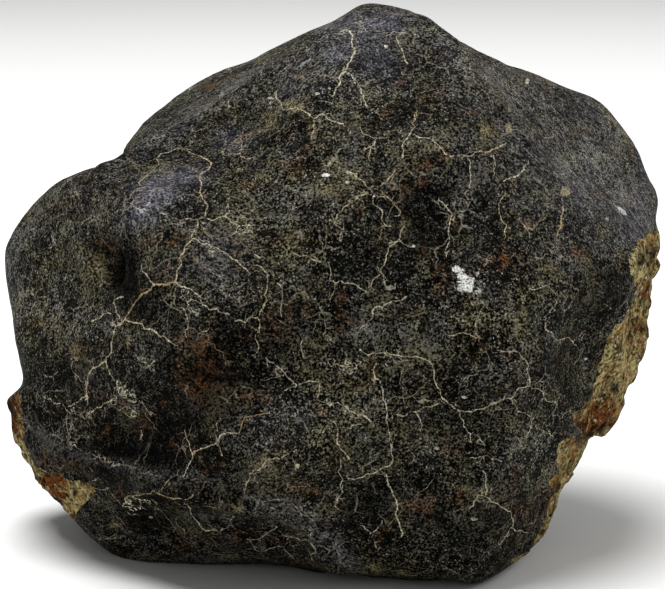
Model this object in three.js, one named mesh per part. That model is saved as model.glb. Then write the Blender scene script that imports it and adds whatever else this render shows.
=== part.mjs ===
// A stony meteorite: one stone, 133 mm wide, with a thin black crust melted on in flight.
// Its broad faces meet in rounded edges, shallow thumbprint hollows are pressed into them,
// and rough breaks on its right side and lower left corner show the pale stone inside.
// Millimetres, +X to the right, +Y away from the front, +Z up. The stone rests on a flat
// spot at z = 0, below the middle of its outline.

import * as THREE from 'three';
import { mergeVertices } from 'three/addons/utils/BufferGeometryUtils.js';

// Driving dimensions. The outline and the features are places seen from the front, along a
// line of sight that tips down by VIEW_TILT: [right, away, up] from the middle of the stone.
const VIEW_TILT = THREE.MathUtils.degToRad(12);
const EYE_DISTANCE = 420;
const FRONT_DEPTH = 48;
const BACK_DEPTH = 50;
const ROUNDNESS = 2.3;
const REST_DROP = 50;
const GRID_STEPS = 26;

// The outline as seen: right and up, and how far behind the middle the rim lies there.
const OUTLINE = [
  [8.5, 57.9, 4], [13.5, 57.3, 2], [19.5, 55.3, 0], [23.9, 52.1, 0], [28.5, 48.9, 4],
  [33.5, 46.5, 10], [38.5, 44.9, 14], [46.5, 41.9, 18], [53.5, 38.7, 20], [58.5, 32.9, 20],
  [61.7, 28.3, 18], [63.1, 24.5, 16], [65.3, 19.3, 12], [65.5, 15.9, 10], [65.6, 11.9, 8],
  [66.8, 6.9, 8], [65.4, -1.1, 8], [64.8, -10.1, 8], [62.8, -16.7, 8], [59.4, -23.1, 6],
  [55.9, -28.1, 5], [52.8, -30.7, 4], [49.6, -36.2, 2], [46.6, -40.2, 0], [44.9, -45.9, -2],
  [41.2, -50.4, -6], [34.5, -55.1, -12], [28.5, -57.9, -16], [23.5, -57.1, -18],
  [13.5, -57.1, -16], [5.5, -55.9, -14], [-2.5, -55.7, -12], [-10.5, -54.1, -8],
  [-22.5, -53.9, -6], [-35.5, -54.1, -4], [-40.1, -53.1, -4], [-46.5, -49.5, -4],
  [-51.8, -46, -4], [-57, -41.6, -4], [-61.5, -36, 4], [-64.6, -30.4, 7], [-66, -24.3, 7],
  [-64.4, -21.2, 5], [-61.7, -18.3, -3], [-62.1, -13.1, -6], [-63.5, -9.1, -4],
  [-65.4, -1.1, 0], [-66.6, 4.9, 0], [-66.7, 8.9, 0], [-65, 12.5, 0], [-61.3, 16.9, 2],
  [-57.5, 20.3, 2], [-53.5, 23.3, 2], [-48.5, 25.5, 4], [-43.1, 27.1, 8], [-40.5, 30.9, 34],
  [-36.5, 35.5, 38], [-31.5, 39.1, 38], [-24.5, 43.9, 36], [-16.5, 46.9, 32],
  [-10.5, 49.9, 26], [-2.5, 53.9, 14], [3.5, 56.9, 7],
];
const RIM_BLUR = THREE.MathUtils.degToRad(24);
const RIM_REACH = THREE.MathUtils.degToRad(34);

// Broad faces: the way each one looks, and its distance from the middle.
const FACE_SOFTNESS = 2.2;
const FACES = {
  upperFront: { normal: [-0.1, -0.84, 0.53], distance: 41.5 },
  middleFront: { normal: [0.02, -0.995, 0.08], distance: 41 },
  lowerFront: { normal: [0.05, -0.96, -0.26], distance: 42.5 },
  crownFront: { normal: [0, -0.72, 0.7], distance: 49 },
  crownBackLeft: { normal: [-0.52, -0.2, 0.83], distance: 48.5 },
  rightFlank: { normal: [0.64, -0.52, 0.56], distance: 53.5 },
  leftCheek: { normal: [-0.7, -0.7, 0.12], distance: 48.5 },
  leftLow: { normal: [-0.62, -0.74, -0.26], distance: 50.5 },
  underside: { normal: [-0.2, -0.62, -0.76], distance: 52 },
  lowerRight: { normal: [0.72, -0.62, -0.3], distance: 54 },
  back: { normal: [0.1, 0.97, 0.2], distance: 47 },
  backLeft: { normal: [-0.66, 0.72, 0.22], distance: 50 },
  backRight: { normal: [0.7, 0.66, -0.1], distance: 55 },
  backLow: { normal: [-0.05, 0.74, -0.67], distance: 58 },
};

// Hollows that the hot air pressed in. Each is an oval on the surface: its half length, half
// width, the turn of its length from level in degrees, and its depth. Where hollows meet,
// the deeper one wins, and HOLLOW_SOFTNESS rounds the rib between them.
const HOLLOW_SOFTNESS = 0.55;
const HOLLOWS = {
  leftPit: { at: [-38.8, -23.5, 5.2], length: 6, width: 4.6, turn: -50, depth: 3.6 },
  crownBowl: { at: [10.3, -21.5, 40.8], length: 9, width: 7, turn: 95, depth: 1.6 },
  upperLeft: { at: [-18, -16, 33], length: 14, width: 8, turn: 25, depth: 1.3 },
  faceLeft: { at: [-17, -36, 9], length: 17, width: 13, turn: 10, depth: 1.5 },
  middleHigh: { at: [-16, -37, -15.5], length: 11, width: 9, turn: 50, depth: 2.6 },
  middleLow: { at: [-30, -33, -24], length: 17, width: 8, turn: 26, depth: 3.2 },
  lipFoot: { at: [-41, -25, -28], length: 10, width: 4.5, turn: -8, depth: 1.8 },
  moundFoot: { at: [-12.5, -33, -34.5], length: 15, width: 5, turn: -10, depth: 2.2 },
  heart: { at: [20, -35, 13.5], length: 13, width: 10, turn: 0, depth: 2.4 },
  farRight: { at: [46, -25, -10], length: 11, width: 10, turn: 20, depth: 2.8 },
  rightLow: { at: [32, -33, -23], length: 14, width: 10, turn: 20, depth: 1.4 },
  lowMiddle: { at: [5, -34, -39.5], length: 11, width: 8, turn: 0, depth: 1.8 },
  underLeft: { at: [-35, -17, -42], length: 17, width: 7, turn: -6, depth: 3.2 },
  underMiddle: { at: [-7, -29, -43], length: 14, width: 6, turn: -20, depth: 1.8 },
  cheek: { at: [-52, -15, -1], length: 13, width: 9, turn: -5, depth: 1.5 },
  cheekLow: { at: [-50, -19, -18], length: 12, width: 9, turn: 0, depth: 1.3 },
  flank: { at: [50, -11, 25], length: 15, width: 10, turn: -50, depth: 1.5 },
  flankPit: { at: [30.2, -25, 30.2], length: 3, width: 4, turn: 0, depth: 1.6 },
  backHigh: { at: [10, 38, 28], length: 19, width: 14, turn: 20, depth: 2.8 },
  backMiddle: { at: [-12, 44, 2], length: 17, width: 14, turn: -30, depth: 3 },
  backRight: { at: [36, 34, 6], length: 16, width: 13, turn: 60, depth: 2.8 },
  backLeft: { at: [-46, 26, 6], length: 15, width: 13, turn: 10, depth: 2.6 },
  backFoot: { at: [8, 40, -26], length: 17, width: 11, turn: 0, depth: 2.4 },
  backLeftFoot: { at: [-36, 30, -24], length: 14, width: 11, turn: 30, depth: 2.2 },
  crownBack: { at: [-14, 26, 42], length: 15, width: 9, turn: 25, depth: 1.6 },
};

// Mounds that stand out between the hollows, described in the same way.
const MOUNDS = {
  shoulder: { at: [-34, -30, 18], length: 11, width: 7, turn: 35, height: 2.4 },
  lower: { at: [-5, -39, -30], length: 14, width: 7.5, turn: 6, height: 3.4 },
  right: { at: [24, -40, -9], length: 13, width: 10, turn: 0, height: 1.2 },
  heel: { at: [-4, 31, -42], length: 34, width: 17, turn: 0, height: 4 },
};

// Long edges that stand out along a path, and troughs, which have a height below zero.
const CRESTS = {
  crownEdge: {
    path: [
      [-42, -16, 25], [-37, -14, 28], [-31, -11, 31], [-25, -10, 34.5], [-18, -10, 39],
      [-11, -12, 42.5], [-6, -14, 45], [-2, -14, 49],
    ],
    width: 3.4,
    height: 2.4,
  },
  lobeTrough: { path: [[-46, 8, 27], [-38, 22, 30]], width: 6, height: -2 },
  crownNotch: { path: [[-10, -9, 46], [-2, -6, 52]], width: 2.4, height: -1.2 },
  flankRidge: {
    path: [
      [19, -12, 53], [22, -16, 48], [26, -20, 42], [31, -22, 36], [34, -23, 31],
      [37, -25, 25], [40, -27, 20], [43, -28, 16],
    ],
    width: 4,
    height: 1.5,
  },
  lip: {
    path: [
      [-60, -7, -27], [-57, -9, -30], [-52, -14, -32], [-44, -20, -32], [-36, -25, -33],
      [-30, -28, -34], [-25, -29, -35], [-19, -30, -37], [-13, -30, -38.5], [-8, -30, -41],
      [-4, -28, -44], [-1, -25, -48], [1, -21, -51],
    ],
    width: 3.4,
    height: 2.6,
  },
  cheekRidge: { path: [[-33, -34, 8], [-46, -26, -12]], width: 5, height: 0.8 },
};

// Breaks: what lies beyond every plane of a break has come away.
const BREAKS = {
  rightFront: [{ normal: [0.918, -0.329, -0.224], distance: 57.2 }],
  rightRear: [{ normal: [0.93, 0.33, -0.16], distance: 61.5 }],
  rightLow: [{ normal: [0.85, -0.42, -0.33], distance: 55.8 }],
  lowerRight: [
    { normal: [0.87, -0.3, -0.39], distance: 56 },
    { normal: [-0.2, -0.03, -0.98], distance: 17.6 },
  ],
  leftCorner: [{ normal: [-0.7, -0.5, -0.51], distance: 59.9 }],
  leftSide: [{ normal: [-0.9, -0.28, -0.34], distance: 64.3 }],
};

// Slow swells over the crust and shorter ones over the breaks, from waves that run in many
// directions. The phase of each wave lags the one before by the turn, in radians.
const CRUST_SWELL = { height: 0.45, waves: 14, longest: 40, shortest: 14, turn: 2.4 };
const BREAK_SWELL = { height: 0.55, waves: 18, longest: 22, shortest: 7, turn: 1.7 };

const TURN = 2 * Math.PI;
const HORIZON = 0.05;

function direction(x, y, z) {
  return new THREE.Vector3(x, y, z).normalize();
}

// A cubic curve through the outline in polar form: angle to [radius, rim depth]. Radii grow
// with the rim's depth, because the far parts of the outline look smaller than they are.
function makeRim() {
  const knots = OUTLINE.map(([right, up, away]) => ({
    angle: Math.atan2(up, right),
    values: [Math.hypot(right, up) * (1 + away / EYE_DISTANCE), away],
  })).sort((a, b) => a.angle - b.angle);
  const count = knots.length;
  const knot = (k) => {
    const laps = Math.floor(k / count);
    const { angle, values } = knots[k - laps * count];
    return { angle: angle + laps * TURN, values };
  };
  return (angle) => {
    let k = count - 1;
    while (k >= 0 && knots[k].angle > angle) k -= 1;
    const [before, start, end, after] = [knot(k - 1), knot(k), knot(k + 1), knot(k + 2)];
    const span = end.angle - start.angle;
    const s = (angle - start.angle) / span;
    return start.values.map((value, i) => {
      const slopeIn = (end.values[i] - before.values[i]) / (end.angle - before.angle);
      const slopeOut = (after.values[i] - value) / (after.angle - start.angle);
      return (2 * s ** 3 - 3 * s ** 2 + 1) * value + (s ** 3 - 2 * s ** 2 + s) * span * slopeIn
        + (3 * s ** 2 - 2 * s ** 3) * end.values[i] + (s ** 3 - s ** 2) * span * slopeOut;
    });
  };
}

// The same curve with its detail averaged away, for the surface far from the rim.
function makeSoftRim(rim, samples = 180) {
  const angles = Array.from({ length: samples }, (_, k) => -Math.PI + (k * TURN) / samples);
  const exact = angles.map(rim);
  const soft = angles.map((here) => {
    let [weight, radius, away] = [0, 0, 0];
    angles.forEach((there, k) => {
      const gap = THREE.MathUtils.euclideanModulo(there - here + Math.PI, TURN) - Math.PI;
      const share = Math.exp(-((gap / RIM_BLUR) ** 2));
      weight += share;
      radius += share * exact[k][0];
      away += share * exact[k][1];
    });
    return [radius / weight, away / weight];
  });
  return (angle) => {
    const place = ((angle + Math.PI) / TURN) * samples;
    const k = Math.floor(place);
    const [a, b] = [soft[k % samples], soft[(k + 1) % samples]];
    return a.map((value, i) => THREE.MathUtils.lerp(value, b[i], place - k));
  };
}

const rim = makeRim();
const softRim = makeSoftRim(rim);

// Distance along a ray to a plane, or far away where the ray never meets it.
function reach(ray, { normal, distance }) {
  const along = ray.dot(direction(...normal));
  return along > HORIZON ? distance / along : 1e6;
}

// The rounded body: a superellipse from the outline to the front and back, sheared so that
// its rim lies at the right depth, with the broad faces blended in by a smooth minimum.
function bodyRadius(ray) {
  const across = Math.hypot(ray.x, ray.z);
  const angle = Math.atan2(ray.z, ray.x);
  const [sharpRadius, sharpAway] = rim(angle);
  const [softRadius, softAway] = softRim(angle);
  const latitude = Math.atan2(ray.y, across) - Math.atan2(sharpAway, sharpRadius);
  const near = Math.exp(-((latitude / RIM_REACH) ** 2));
  const radius = THREE.MathUtils.lerp(softRadius, sharpRadius, near);
  const away = THREE.MathUtils.lerp(softAway, sharpAway, near);
  const deep = ray.y - (away * across) / radius;
  const depth = deep < 0 ? FRONT_DEPTH : BACK_DEPTH;
  const round = ((across / radius) ** ROUNDNESS + (Math.abs(deep) / depth) ** ROUNDNESS)
    ** (-1 / ROUNDNESS);
  let overlap = 1;
  for (const face of Object.values(FACES)) {
    overlap += Math.exp((round - reach(ray, face)) / FACE_SOFTNESS);
  }
  return round - FACE_SOFTNESS * Math.log(overlap);
}

// How far out a ray is in an oval patch: 0 in its middle, 1 at its edge, squared.
function ovalGap(ray, { at, length, width, turn }) {
  const middle = direction(...at);
  const along = ray.dot(middle);
  if (along <= HORIZON) return 1000;
  const right = direction(0, 0, 1).cross(middle).normalize();
  const up = middle.clone().cross(right);
  const flat = ray.clone().multiplyScalar(Math.hypot(...at) / along);
  const [x, y] = [flat.dot(right), flat.dot(up)];
  const t = THREE.MathUtils.degToRad(turn);
  const u = (x * Math.cos(t) + y * Math.sin(t)) / length;
  const v = (y * Math.cos(t) - x * Math.sin(t)) / width;
  return u * u + v * v;
}

// Distance from a ray to a path of arcs on the surface.
function pathGap(ray, path, radius) {
  let gap = Infinity;
  for (let k = 1; k < path.length; k += 1) {
    const line = new THREE.Line3(direction(...path[k - 1]), direction(...path[k]));
    const nearest = line.closestPointToPoint(ray, true, new THREE.Vector3()).normalize();
    gap = Math.min(gap, nearest.distanceTo(ray) * radius);
  }
  return gap;
}

// What the hollows take off along a ray, and the mounds and crests add.
function relief(ray, body) {
  let overlap = 1;
  for (const hollow of Object.values(HOLLOWS)) {
    overlap += Math.exp((hollow.depth * (1 - ovalGap(ray, hollow))) / HOLLOW_SOFTNESS);
  }
  let total = -HOLLOW_SOFTNESS * Math.log(overlap);
  for (const mound of Object.values(MOUNDS)) {
    total += mound.height * Math.exp(-ovalGap(ray, mound));
  }
  for (const { path, width, height } of Object.values(CRESTS)) {
    total += height * Math.exp(-((pathGap(ray, path, body) / width) ** 2));
  }
  return total;
}

// Swells along a ray: waves in evenly spread directions, shorter ones lower.
function swell(ray, { height, waves, longest, shortest, turn }) {
  const golden = Math.PI * (3 - Math.sqrt(5));
  let total = 0;
  for (let k = 0; k < waves; k += 1) {
    const up = 1 - (2 * (k + 0.5)) / waves;
    const flat = Math.sqrt(1 - up * up);
    const wave = new THREE.Vector3(flat * Math.cos(golden * k), flat * Math.sin(golden * k), up);
    const wavelength = longest * (shortest / longest) ** (k / (waves - 1));
    const phase = (TURN * FRONT_DEPTH * wave.dot(ray)) / wavelength + turn * k;
    total += (wavelength / longest) * Math.sin(phase);
  }
  return (height * total) / Math.sqrt(waves);
}

// Distance to the crusted surface along a ray, or to a break where one cuts deeper.
function stoneRadius(ray) {
  const body = bodyRadius(ray);
  const crusted = body + relief(ray, body) + swell(ray, CRUST_SWELL);
  const planeReach = (planes) => Math.max(...planes.map((plane) => reach(ray, plane)));
  const broken = Math.min(...Object.values(BREAKS).map(planeReach));
  return Math.min(crusted, broken + swell(ray, BREAK_SWELL));
}

// The stone: an even grid on a cube, swelled to a ball, and each point moved out along its
// ray to the surface. The rays that go down stop at the flat spot that it rests on.
function makeStone() {
  const grid = new THREE.BoxGeometry(2, 2, 2, GRID_STEPS, GRID_STEPS, GRID_STEPS);
  grid.deleteAttribute('normal');
  grid.deleteAttribute('uv');
  const ball = mergeVertices(grid, 1e-4);
  const place = ball.getAttribute('position');
  const right = new THREE.Vector3(1, 0, 0);
  for (let k = 0; k < place.count; k += 1) {
    const even = new THREE.Vector3().fromBufferAttribute(place, k).toArray()
      .map((value) => Math.tan((value * Math.PI) / 4));
    const ray = direction(...even);
    const seen = ray.clone().applyAxisAngle(right, VIEW_TILT);
    const drop = ray.z < -HORIZON ? REST_DROP / -ray.z : Infinity;
    ray.multiplyScalar(Math.min(stoneRadius(seen), drop));
    place.setXYZ(k, ray.x, ray.y, ray.z);
  }
  ball.computeBoundingBox();
  const middle = ball.boundingBox.getCenter(new THREE.Vector3());
  ball.translate(-middle.x, -middle.y, REST_DROP);
  ball.computeVertexNormals();
  return ball;
}

const crust = new THREE.MeshStandardMaterial({ color: 0x2b2a25, roughness: 0.55, metalness: 0 });
const stone = new THREE.Mesh(makeStone(), crust);
stone.name = 'meteorite';

const part = new THREE.Group();
part.add(stone);
export default part;
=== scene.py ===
# %% [markdown]
# # A stony meteorite
# This script gives a meteorite its looks. The stone is one solid: a thin black crust melted on
# in flight, pressed with thumbprint hollows, cut by a net of pale cracks, and broken on its
# right side and lower left corner, where the tan inside shows. We make its surface with numpy,
# then its finish with one material, then a plain studio round it.

# %% Load the fixed frame
import math

import bpy
import numpy as np
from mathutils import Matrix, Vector


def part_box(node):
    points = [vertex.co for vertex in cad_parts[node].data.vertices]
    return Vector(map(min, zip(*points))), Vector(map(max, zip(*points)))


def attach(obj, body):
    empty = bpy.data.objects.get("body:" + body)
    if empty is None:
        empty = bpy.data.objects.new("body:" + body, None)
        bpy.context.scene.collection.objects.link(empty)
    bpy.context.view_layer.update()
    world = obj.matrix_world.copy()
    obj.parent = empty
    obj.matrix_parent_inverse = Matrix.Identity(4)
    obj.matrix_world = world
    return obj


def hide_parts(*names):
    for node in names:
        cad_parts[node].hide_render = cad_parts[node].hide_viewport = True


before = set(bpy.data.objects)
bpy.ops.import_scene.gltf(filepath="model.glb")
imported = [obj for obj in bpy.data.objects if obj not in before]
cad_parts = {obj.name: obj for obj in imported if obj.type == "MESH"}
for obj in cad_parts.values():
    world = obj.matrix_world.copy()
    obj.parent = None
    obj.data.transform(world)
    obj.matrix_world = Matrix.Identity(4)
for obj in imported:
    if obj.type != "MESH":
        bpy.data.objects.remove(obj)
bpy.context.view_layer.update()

# %% [markdown]
# ## The body
# A lumpy stone is easiest to describe by how far it reaches from its middle in each direction.
# We look along the camera's line of sight, which tips down by 12 degrees, and trace the outline
# that shows there. A superellipse joins that outline to the front and the back. All lengths in
# this part are millimetres, and places are [right, away, up] in the view's own directions.

# %% The outline and the broad faces
MM = 0.001
VIEW_TILT = math.radians(12)
EYE_DISTANCE = 420.0
PICTURE = (665, 589)
PIXEL = 0.2
FRONT_DEPTH = 48.0
BACK_DEPTH = 50.0
ROUNDNESS = 2.3
REST_DROP = 50.0
# a ray meets a plane when it points at it by more than this, and is far from it otherwise
HORIZON = 0.05
FAR = 1e6
RIM_BLUR = math.radians(24)
RIM_REACH = math.radians(34)

# right, up, and how far behind the middle the rim lies there
OUTLINE = np.array([
    [8.5, 57.9, 4], [13.5, 57.3, 2], [19.5, 55.3, 0], [23.9, 52.1, 0], [28.5, 48.9, 4],
    [33.5, 46.5, 10], [38.5, 44.9, 14], [46.5, 41.9, 18], [53.5, 38.7, 20], [58.5, 32.9, 20],
    [61.7, 28.3, 18], [63.1, 24.5, 16], [65.3, 19.3, 12], [65.5, 15.9, 10], [65.6, 11.9, 8],
    [66.8, 6.9, 8], [65.4, -1.1, 8], [64.8, -10.1, 8], [62.8, -16.7, 8], [59.4, -23.1, 6],
    [55.9, -28.1, 5], [52.8, -30.7, 4], [49.6, -36.2, 2], [46.6, -40.2, 0], [44.9, -45.9, -2],
    [41.2, -50.4, -6], [34.5, -55.1, -12], [28.5, -57.9, -16], [23.5, -57.1, -18],
    [13.5, -57.1, -16], [5.5, -55.9, -14], [-2.5, -55.7, -12], [-10.5, -54.1, -8],
    [-22.5, -53.9, -6], [-35.5, -54.1, -4], [-40.1, -53.1, -4], [-46.5, -49.5, -4],
    [-51.8, -46, -4], [-57, -41.6, -4], [-61.5, -36, 4], [-64.6, -30.4, 7], [-66, -24.3, 7],
    [-64.4, -21.2, 5], [-61.7, -18.3, -3], [-62.1, -13.1, -6], [-63.5, -9.1, -4],
    [-65.4, -1.1, 0], [-66.6, 4.9, 0], [-66.7, 8.9, 0], [-65, 12.5, 0], [-61.3, 16.9, 2],
    [-57.5, 20.3, 2], [-53.5, 23.3, 2], [-48.5, 25.5, 4], [-43.1, 27.1, 8], [-40.5, 30.9, 34],
    [-36.5, 35.5, 38], [-31.5, 39.1, 38], [-24.5, 43.9, 36], [-16.5, 46.9, 32],
    [-10.5, 49.9, 26], [-2.5, 53.9, 14], [3.5, 56.9, 7],
])

# the way each broad face looks, and its distance from the middle
FACE_SOFTNESS = 2.2
FACES = {
    "upper front": ((-0.10, -0.84, 0.53), 41.5),
    "middle front": ((0.02, -0.995, 0.08), 41.0),
    "lower front": ((0.05, -0.96, -0.26), 42.5),
    "crown front": ((0.0, -0.72, 0.70), 49.0),
    "crown back left": ((-0.52, -0.20, 0.83), 48.5),
    "right flank": ((0.64, -0.52, 0.56), 53.5),
    "left cheek": ((-0.70, -0.70, 0.12), 48.5),
    "left low": ((-0.62, -0.74, -0.26), 50.5),
    "underside": ((-0.20, -0.62, -0.76), 52.0),
    "lower right": ((0.72, -0.62, -0.30), 54.0),
    "back": ((0.10, 0.97, 0.20), 47.0),
    "back left": ((-0.66, 0.72, 0.22), 50.0),
    "back right": ((0.70, 0.66, -0.10), 55.0),
    "back low": ((-0.05, 0.74, -0.67), 58.0),
}
print("the outline has", len(OUTLINE), "points and the stone", len(FACES), "broad faces")


# %% The body's reach
def unit(vectors):
    """Each vector at length one."""
    vectors = np.asarray(vectors, float)
    return vectors / np.linalg.norm(vectors, axis=-1, keepdims=True)


def to_view(points):
    """The stone's own directions to the view's: a turn about +X by the tilt."""
    c, s = math.cos(VIEW_TILT), math.sin(VIEW_TILT)
    x, y, z = np.moveaxis(points, -1, 0)
    return np.stack([x, y * c - z * s, y * s + z * c], -1)


def from_view(points):
    """The view's directions to the stone's own: the same turn the other way."""
    c, s = math.cos(VIEW_TILT), math.sin(VIEW_TILT)
    x, y, z = np.moveaxis(points, -1, 0)
    return np.stack([x, y * c + z * s, z * c - y * s], -1)


def rim(angle):
    """Radius and depth of the outline at an angle: a cubic through its points, in polar form."""
    knots = np.arctan2(OUTLINE[:, 1], OUTLINE[:, 0])
    away = OUTLINE[:, 2]
    values = np.stack([np.hypot(OUTLINE[:, 0], OUTLINE[:, 1]) * (1 + away / EYE_DISTANCE), away], 1)
    order = np.argsort(knots)
    knots, values = knots[order], values[order]
    knots = np.concatenate([knots[-2:] - 2 * np.pi, knots, knots[:2] + 2 * np.pi])
    values = np.concatenate([values[-2:], values, values[:2]])
    angle = (angle - knots[1]) % (2 * np.pi) + knots[1]
    k = np.clip(np.searchsorted(knots, angle, side="right") - 1, 1, len(OUTLINE) + 1)
    span = (knots[k + 1] - knots[k])[:, None]
    s = (angle - knots[k])[:, None] / span
    after = np.minimum(k + 2, len(knots) - 1)
    slope_in = (values[k + 1] - values[k - 1]) / (knots[k + 1] - knots[k - 1])[:, None]
    slope_out = (values[after] - values[k]) / (knots[after] - knots[k])[:, None]
    curve = (
        (2 * s**3 - 3 * s**2 + 1) * values[k]
        + (s**3 - 2 * s**2 + s) * span * slope_in
        + (3 * s**2 - 2 * s**3) * values[k + 1]
        + (s**3 - s**2) * span * slope_out
    )
    return curve[:, 0], curve[:, 1]


def blurred_rim(samples=180):
    """The outline's radius and depth with their detail averaged away, at even angles."""
    grid = np.linspace(-np.pi, np.pi, samples + 1)
    radius, away = rim(grid[:-1])
    gap = (grid[None, :-1] - grid[:-1, None] + np.pi) % (2 * np.pi) - np.pi
    share = np.exp(-((gap / RIM_BLUR) ** 2))
    share /= share.sum(1, keepdims=True)
    radius, away = share @ radius, share @ away
    return grid, np.append(radius, radius[0]), np.append(away, away[0])


SOFT_RIM = blurred_rim()


def reach(rays, normal, distance):
    """Distance along each ray to a plane, or far away where the ray never meets it."""
    along = rays @ unit(normal)
    return np.where(along > HORIZON, distance / np.maximum(along, HORIZON), FAR)


def body_radius(rays):
    """A superellipse from the outline to the front and back, sheared so that its rim lies at
    the right depth, then the broad faces blended in by a smooth minimum."""
    angle = np.arctan2(rays[:, 2], rays[:, 0])
    across = np.hypot(rays[:, 0], rays[:, 2])
    sharp_radius, sharp_away = rim(angle)
    grid, blurred_radius, blurred_away = SOFT_RIM
    soft_radius = np.interp(angle, grid, blurred_radius)
    soft_away = np.interp(angle, grid, blurred_away)
    latitude = np.arctan2(rays[:, 1], across) - np.arctan2(sharp_away, sharp_radius)
    near = np.exp(-((latitude / RIM_REACH) ** 2))
    radius = soft_radius + (sharp_radius - soft_radius) * near
    away = soft_away + (sharp_away - soft_away) * near
    deep = rays[:, 1] - away * across / radius
    depth = np.where(deep < 0, FRONT_DEPTH, BACK_DEPTH)
    power = (across / radius) ** ROUNDNESS + (np.abs(deep) / depth) ** ROUNDNESS
    reached = power ** (-1 / ROUNDNESS)
    overlap = np.ones_like(reached)
    for normal, distance in FACES.values():
        overlap += np.exp((reached - reach(rays, normal, distance)) / FACE_SOFTNESS)
    return reached - FACE_SOFTNESS * np.log(overlap)


# %% [markdown]
# ## Hollows, mounds, crests and breaks
# Hot air pressed shallow hollows into the soft surface. Each one is an oval dish, and where two
# meet the deeper one wins, which leaves the soft ribs that real stones have between them. Crests
# are long rounded edges along a path. A break is a plane: what lies beyond it has come away.

# %% The relief
# at [right, away, up], half length, half width, turn in degrees, depth
HOLLOW_SOFTNESS = 0.55
HOLLOWS = {
    "left pit": ((-38.8, -23.5, 5.2), 6.0, 4.6, -50, 3.6),
    "crown bowl": ((10.3, -21.5, 40.8), 9, 7, 95, 1.6),
    "upper left": ((-18, -16, 33), 14, 8, 25, 1.3),
    "face left": ((-17, -36, 9), 17, 13, 10, 1.5),
    "middle high": ((-16, -37, -15.5), 11, 9, 50, 2.6),
    "middle low": ((-30, -33, -24), 17, 8, 26, 3.2),
    "lip foot": ((-41, -25, -28), 10, 4.5, -8, 1.8),
    "mound foot": ((-12.5, -33, -34.5), 15, 5, -10, 2.2),
    "heart": ((20, -35, 13.5), 13, 10, 0, 2.4),
    "far right": ((46, -25, -10), 11, 10, 20, 2.8),
    "right low": ((32, -33, -23), 14, 10, 20, 1.4),
    "low middle": ((5, -34, -39.5), 11, 8, 0, 1.8),
    "under left": ((-35, -17, -42), 17, 7, -6, 3.2),
    "under middle": ((-7, -29, -43), 14, 6, -20, 1.8),
    "cheek": ((-52, -15, -1), 13, 9, -5, 1.5),
    "cheek low": ((-50, -19, -18), 12, 9, 0, 1.3),
    "flank": ((50, -11, 25), 15, 10, -50, 1.5),
    "flank pit": ((30.2, -25, 30.2), 3.0, 4.0, 0, 1.6),
    "back high": ((10, 38, 28), 19, 14, 20, 2.8),
    "back middle": ((-12, 44, 2), 17, 14, -30, 3.0),
    "back right": ((36, 34, 6), 16, 13, 60, 2.8),
    "back left": ((-46, 26, 6), 15, 13, 10, 2.6),
    "back foot": ((8, 40, -26), 17, 11, 0, 2.4),
    "back left foot": ((-36, 30, -24), 14, 11, 30, 2.2),
    "crown back": ((-14, 26, 42), 15, 9, 25, 1.6),
}
# the same, with a height
MOUNDS = {
    "shoulder": ((-34, -30, 18), 11, 7, 35, 2.4),
    "lower": ((-5, -39, -30), 14, 7.5, 6, 3.4),
    "right": ((24, -40, -9), 13, 10, 0, 1.2),
    "heel": ((-4, 31, -42), 34, 17, 0, 4.0),
}
# path, width, height
CRESTS = {
    "crown edge": (
        [(-42, -16, 25), (-37, -14, 28), (-31, -11, 31), (-25, -10, 34.5), (-18, -10, 39),
         (-11, -12, 42.5), (-6, -14, 45), (-2, -14, 49)], 3.4, 2.4),
    "lobe trough": ([(-46, 8, 27), (-38, 22, 30)], 6.0, -2.0),
    "crown notch": ([(-10, -9, 46), (-2, -6, 52)], 2.4, -1.2),
    "flank ridge": (
        [(19, -12, 53), (22, -16, 48), (26, -20, 42), (31, -22, 36), (34, -23, 31),
         (37, -25, 25), (40, -27, 20), (43, -28, 16)], 4.0, 1.5),
    "lip": (
        [(-60, -7, -27), (-57, -9, -30), (-52, -14, -32), (-44, -20, -32), (-36, -25, -33),
         (-30, -28, -34), (-25, -29, -35), (-19, -30, -37), (-13, -30, -38.5), (-8, -30, -41),
         (-4, -28, -44), (-1, -25, -48), (1, -21, -51)], 3.4, 2.6),
    "cheek ridge": ([(-33, -34, 8), (-46, -26, -12)], 5.0, 0.8),
}
# planes: normal, distance from the middle
BREAKS = {
    "right front": [((0.918, -0.329, -0.224), 57.2)],
    "right rear": [((0.93, 0.33, -0.16), 61.5)],
    "right low": [((0.85, -0.42, -0.33), 55.8)],
    "lower right": [((0.87, -0.30, -0.39), 56.0), ((-0.2, -0.03, -0.98), 17.6)],
    "left corner": [((-0.70, -0.50, -0.51), 59.9)],
    "left side": [((-0.90, -0.28, -0.34), 64.3)],
}
CRUST_SWELL = {"height": 0.45, "waves": 14, "longest": 40, "shortest": 14, "turn": 2.4}
BREAK_SWELL = {"height": 0.55, "waves": 18, "longest": 22, "shortest": 7, "turn": 1.7}
print("relief:", len(HOLLOWS), "hollows,", len(CRESTS), "crests,", len(BREAKS), "breaks")


# %% How far the crust and the breaks reach
def oval_gap(rays, at, length, width, turn):
    """How far out each ray is in an oval patch, squared: 0 in its middle and 1 at its edge."""
    middle = unit(at)
    right = unit(np.cross([0, 0, 1], middle))
    up = np.cross(middle, right)
    along = rays @ middle
    flat = rays * (np.linalg.norm(at) / np.maximum(along, HORIZON))[:, None]
    x, y = flat @ right, flat @ up
    c, s = math.cos(math.radians(turn)), math.sin(math.radians(turn))
    u, v = (x * c + y * s) / length, (y * c - x * s) / width
    return np.where(along > HORIZON, u * u + v * v, FAR)


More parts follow.
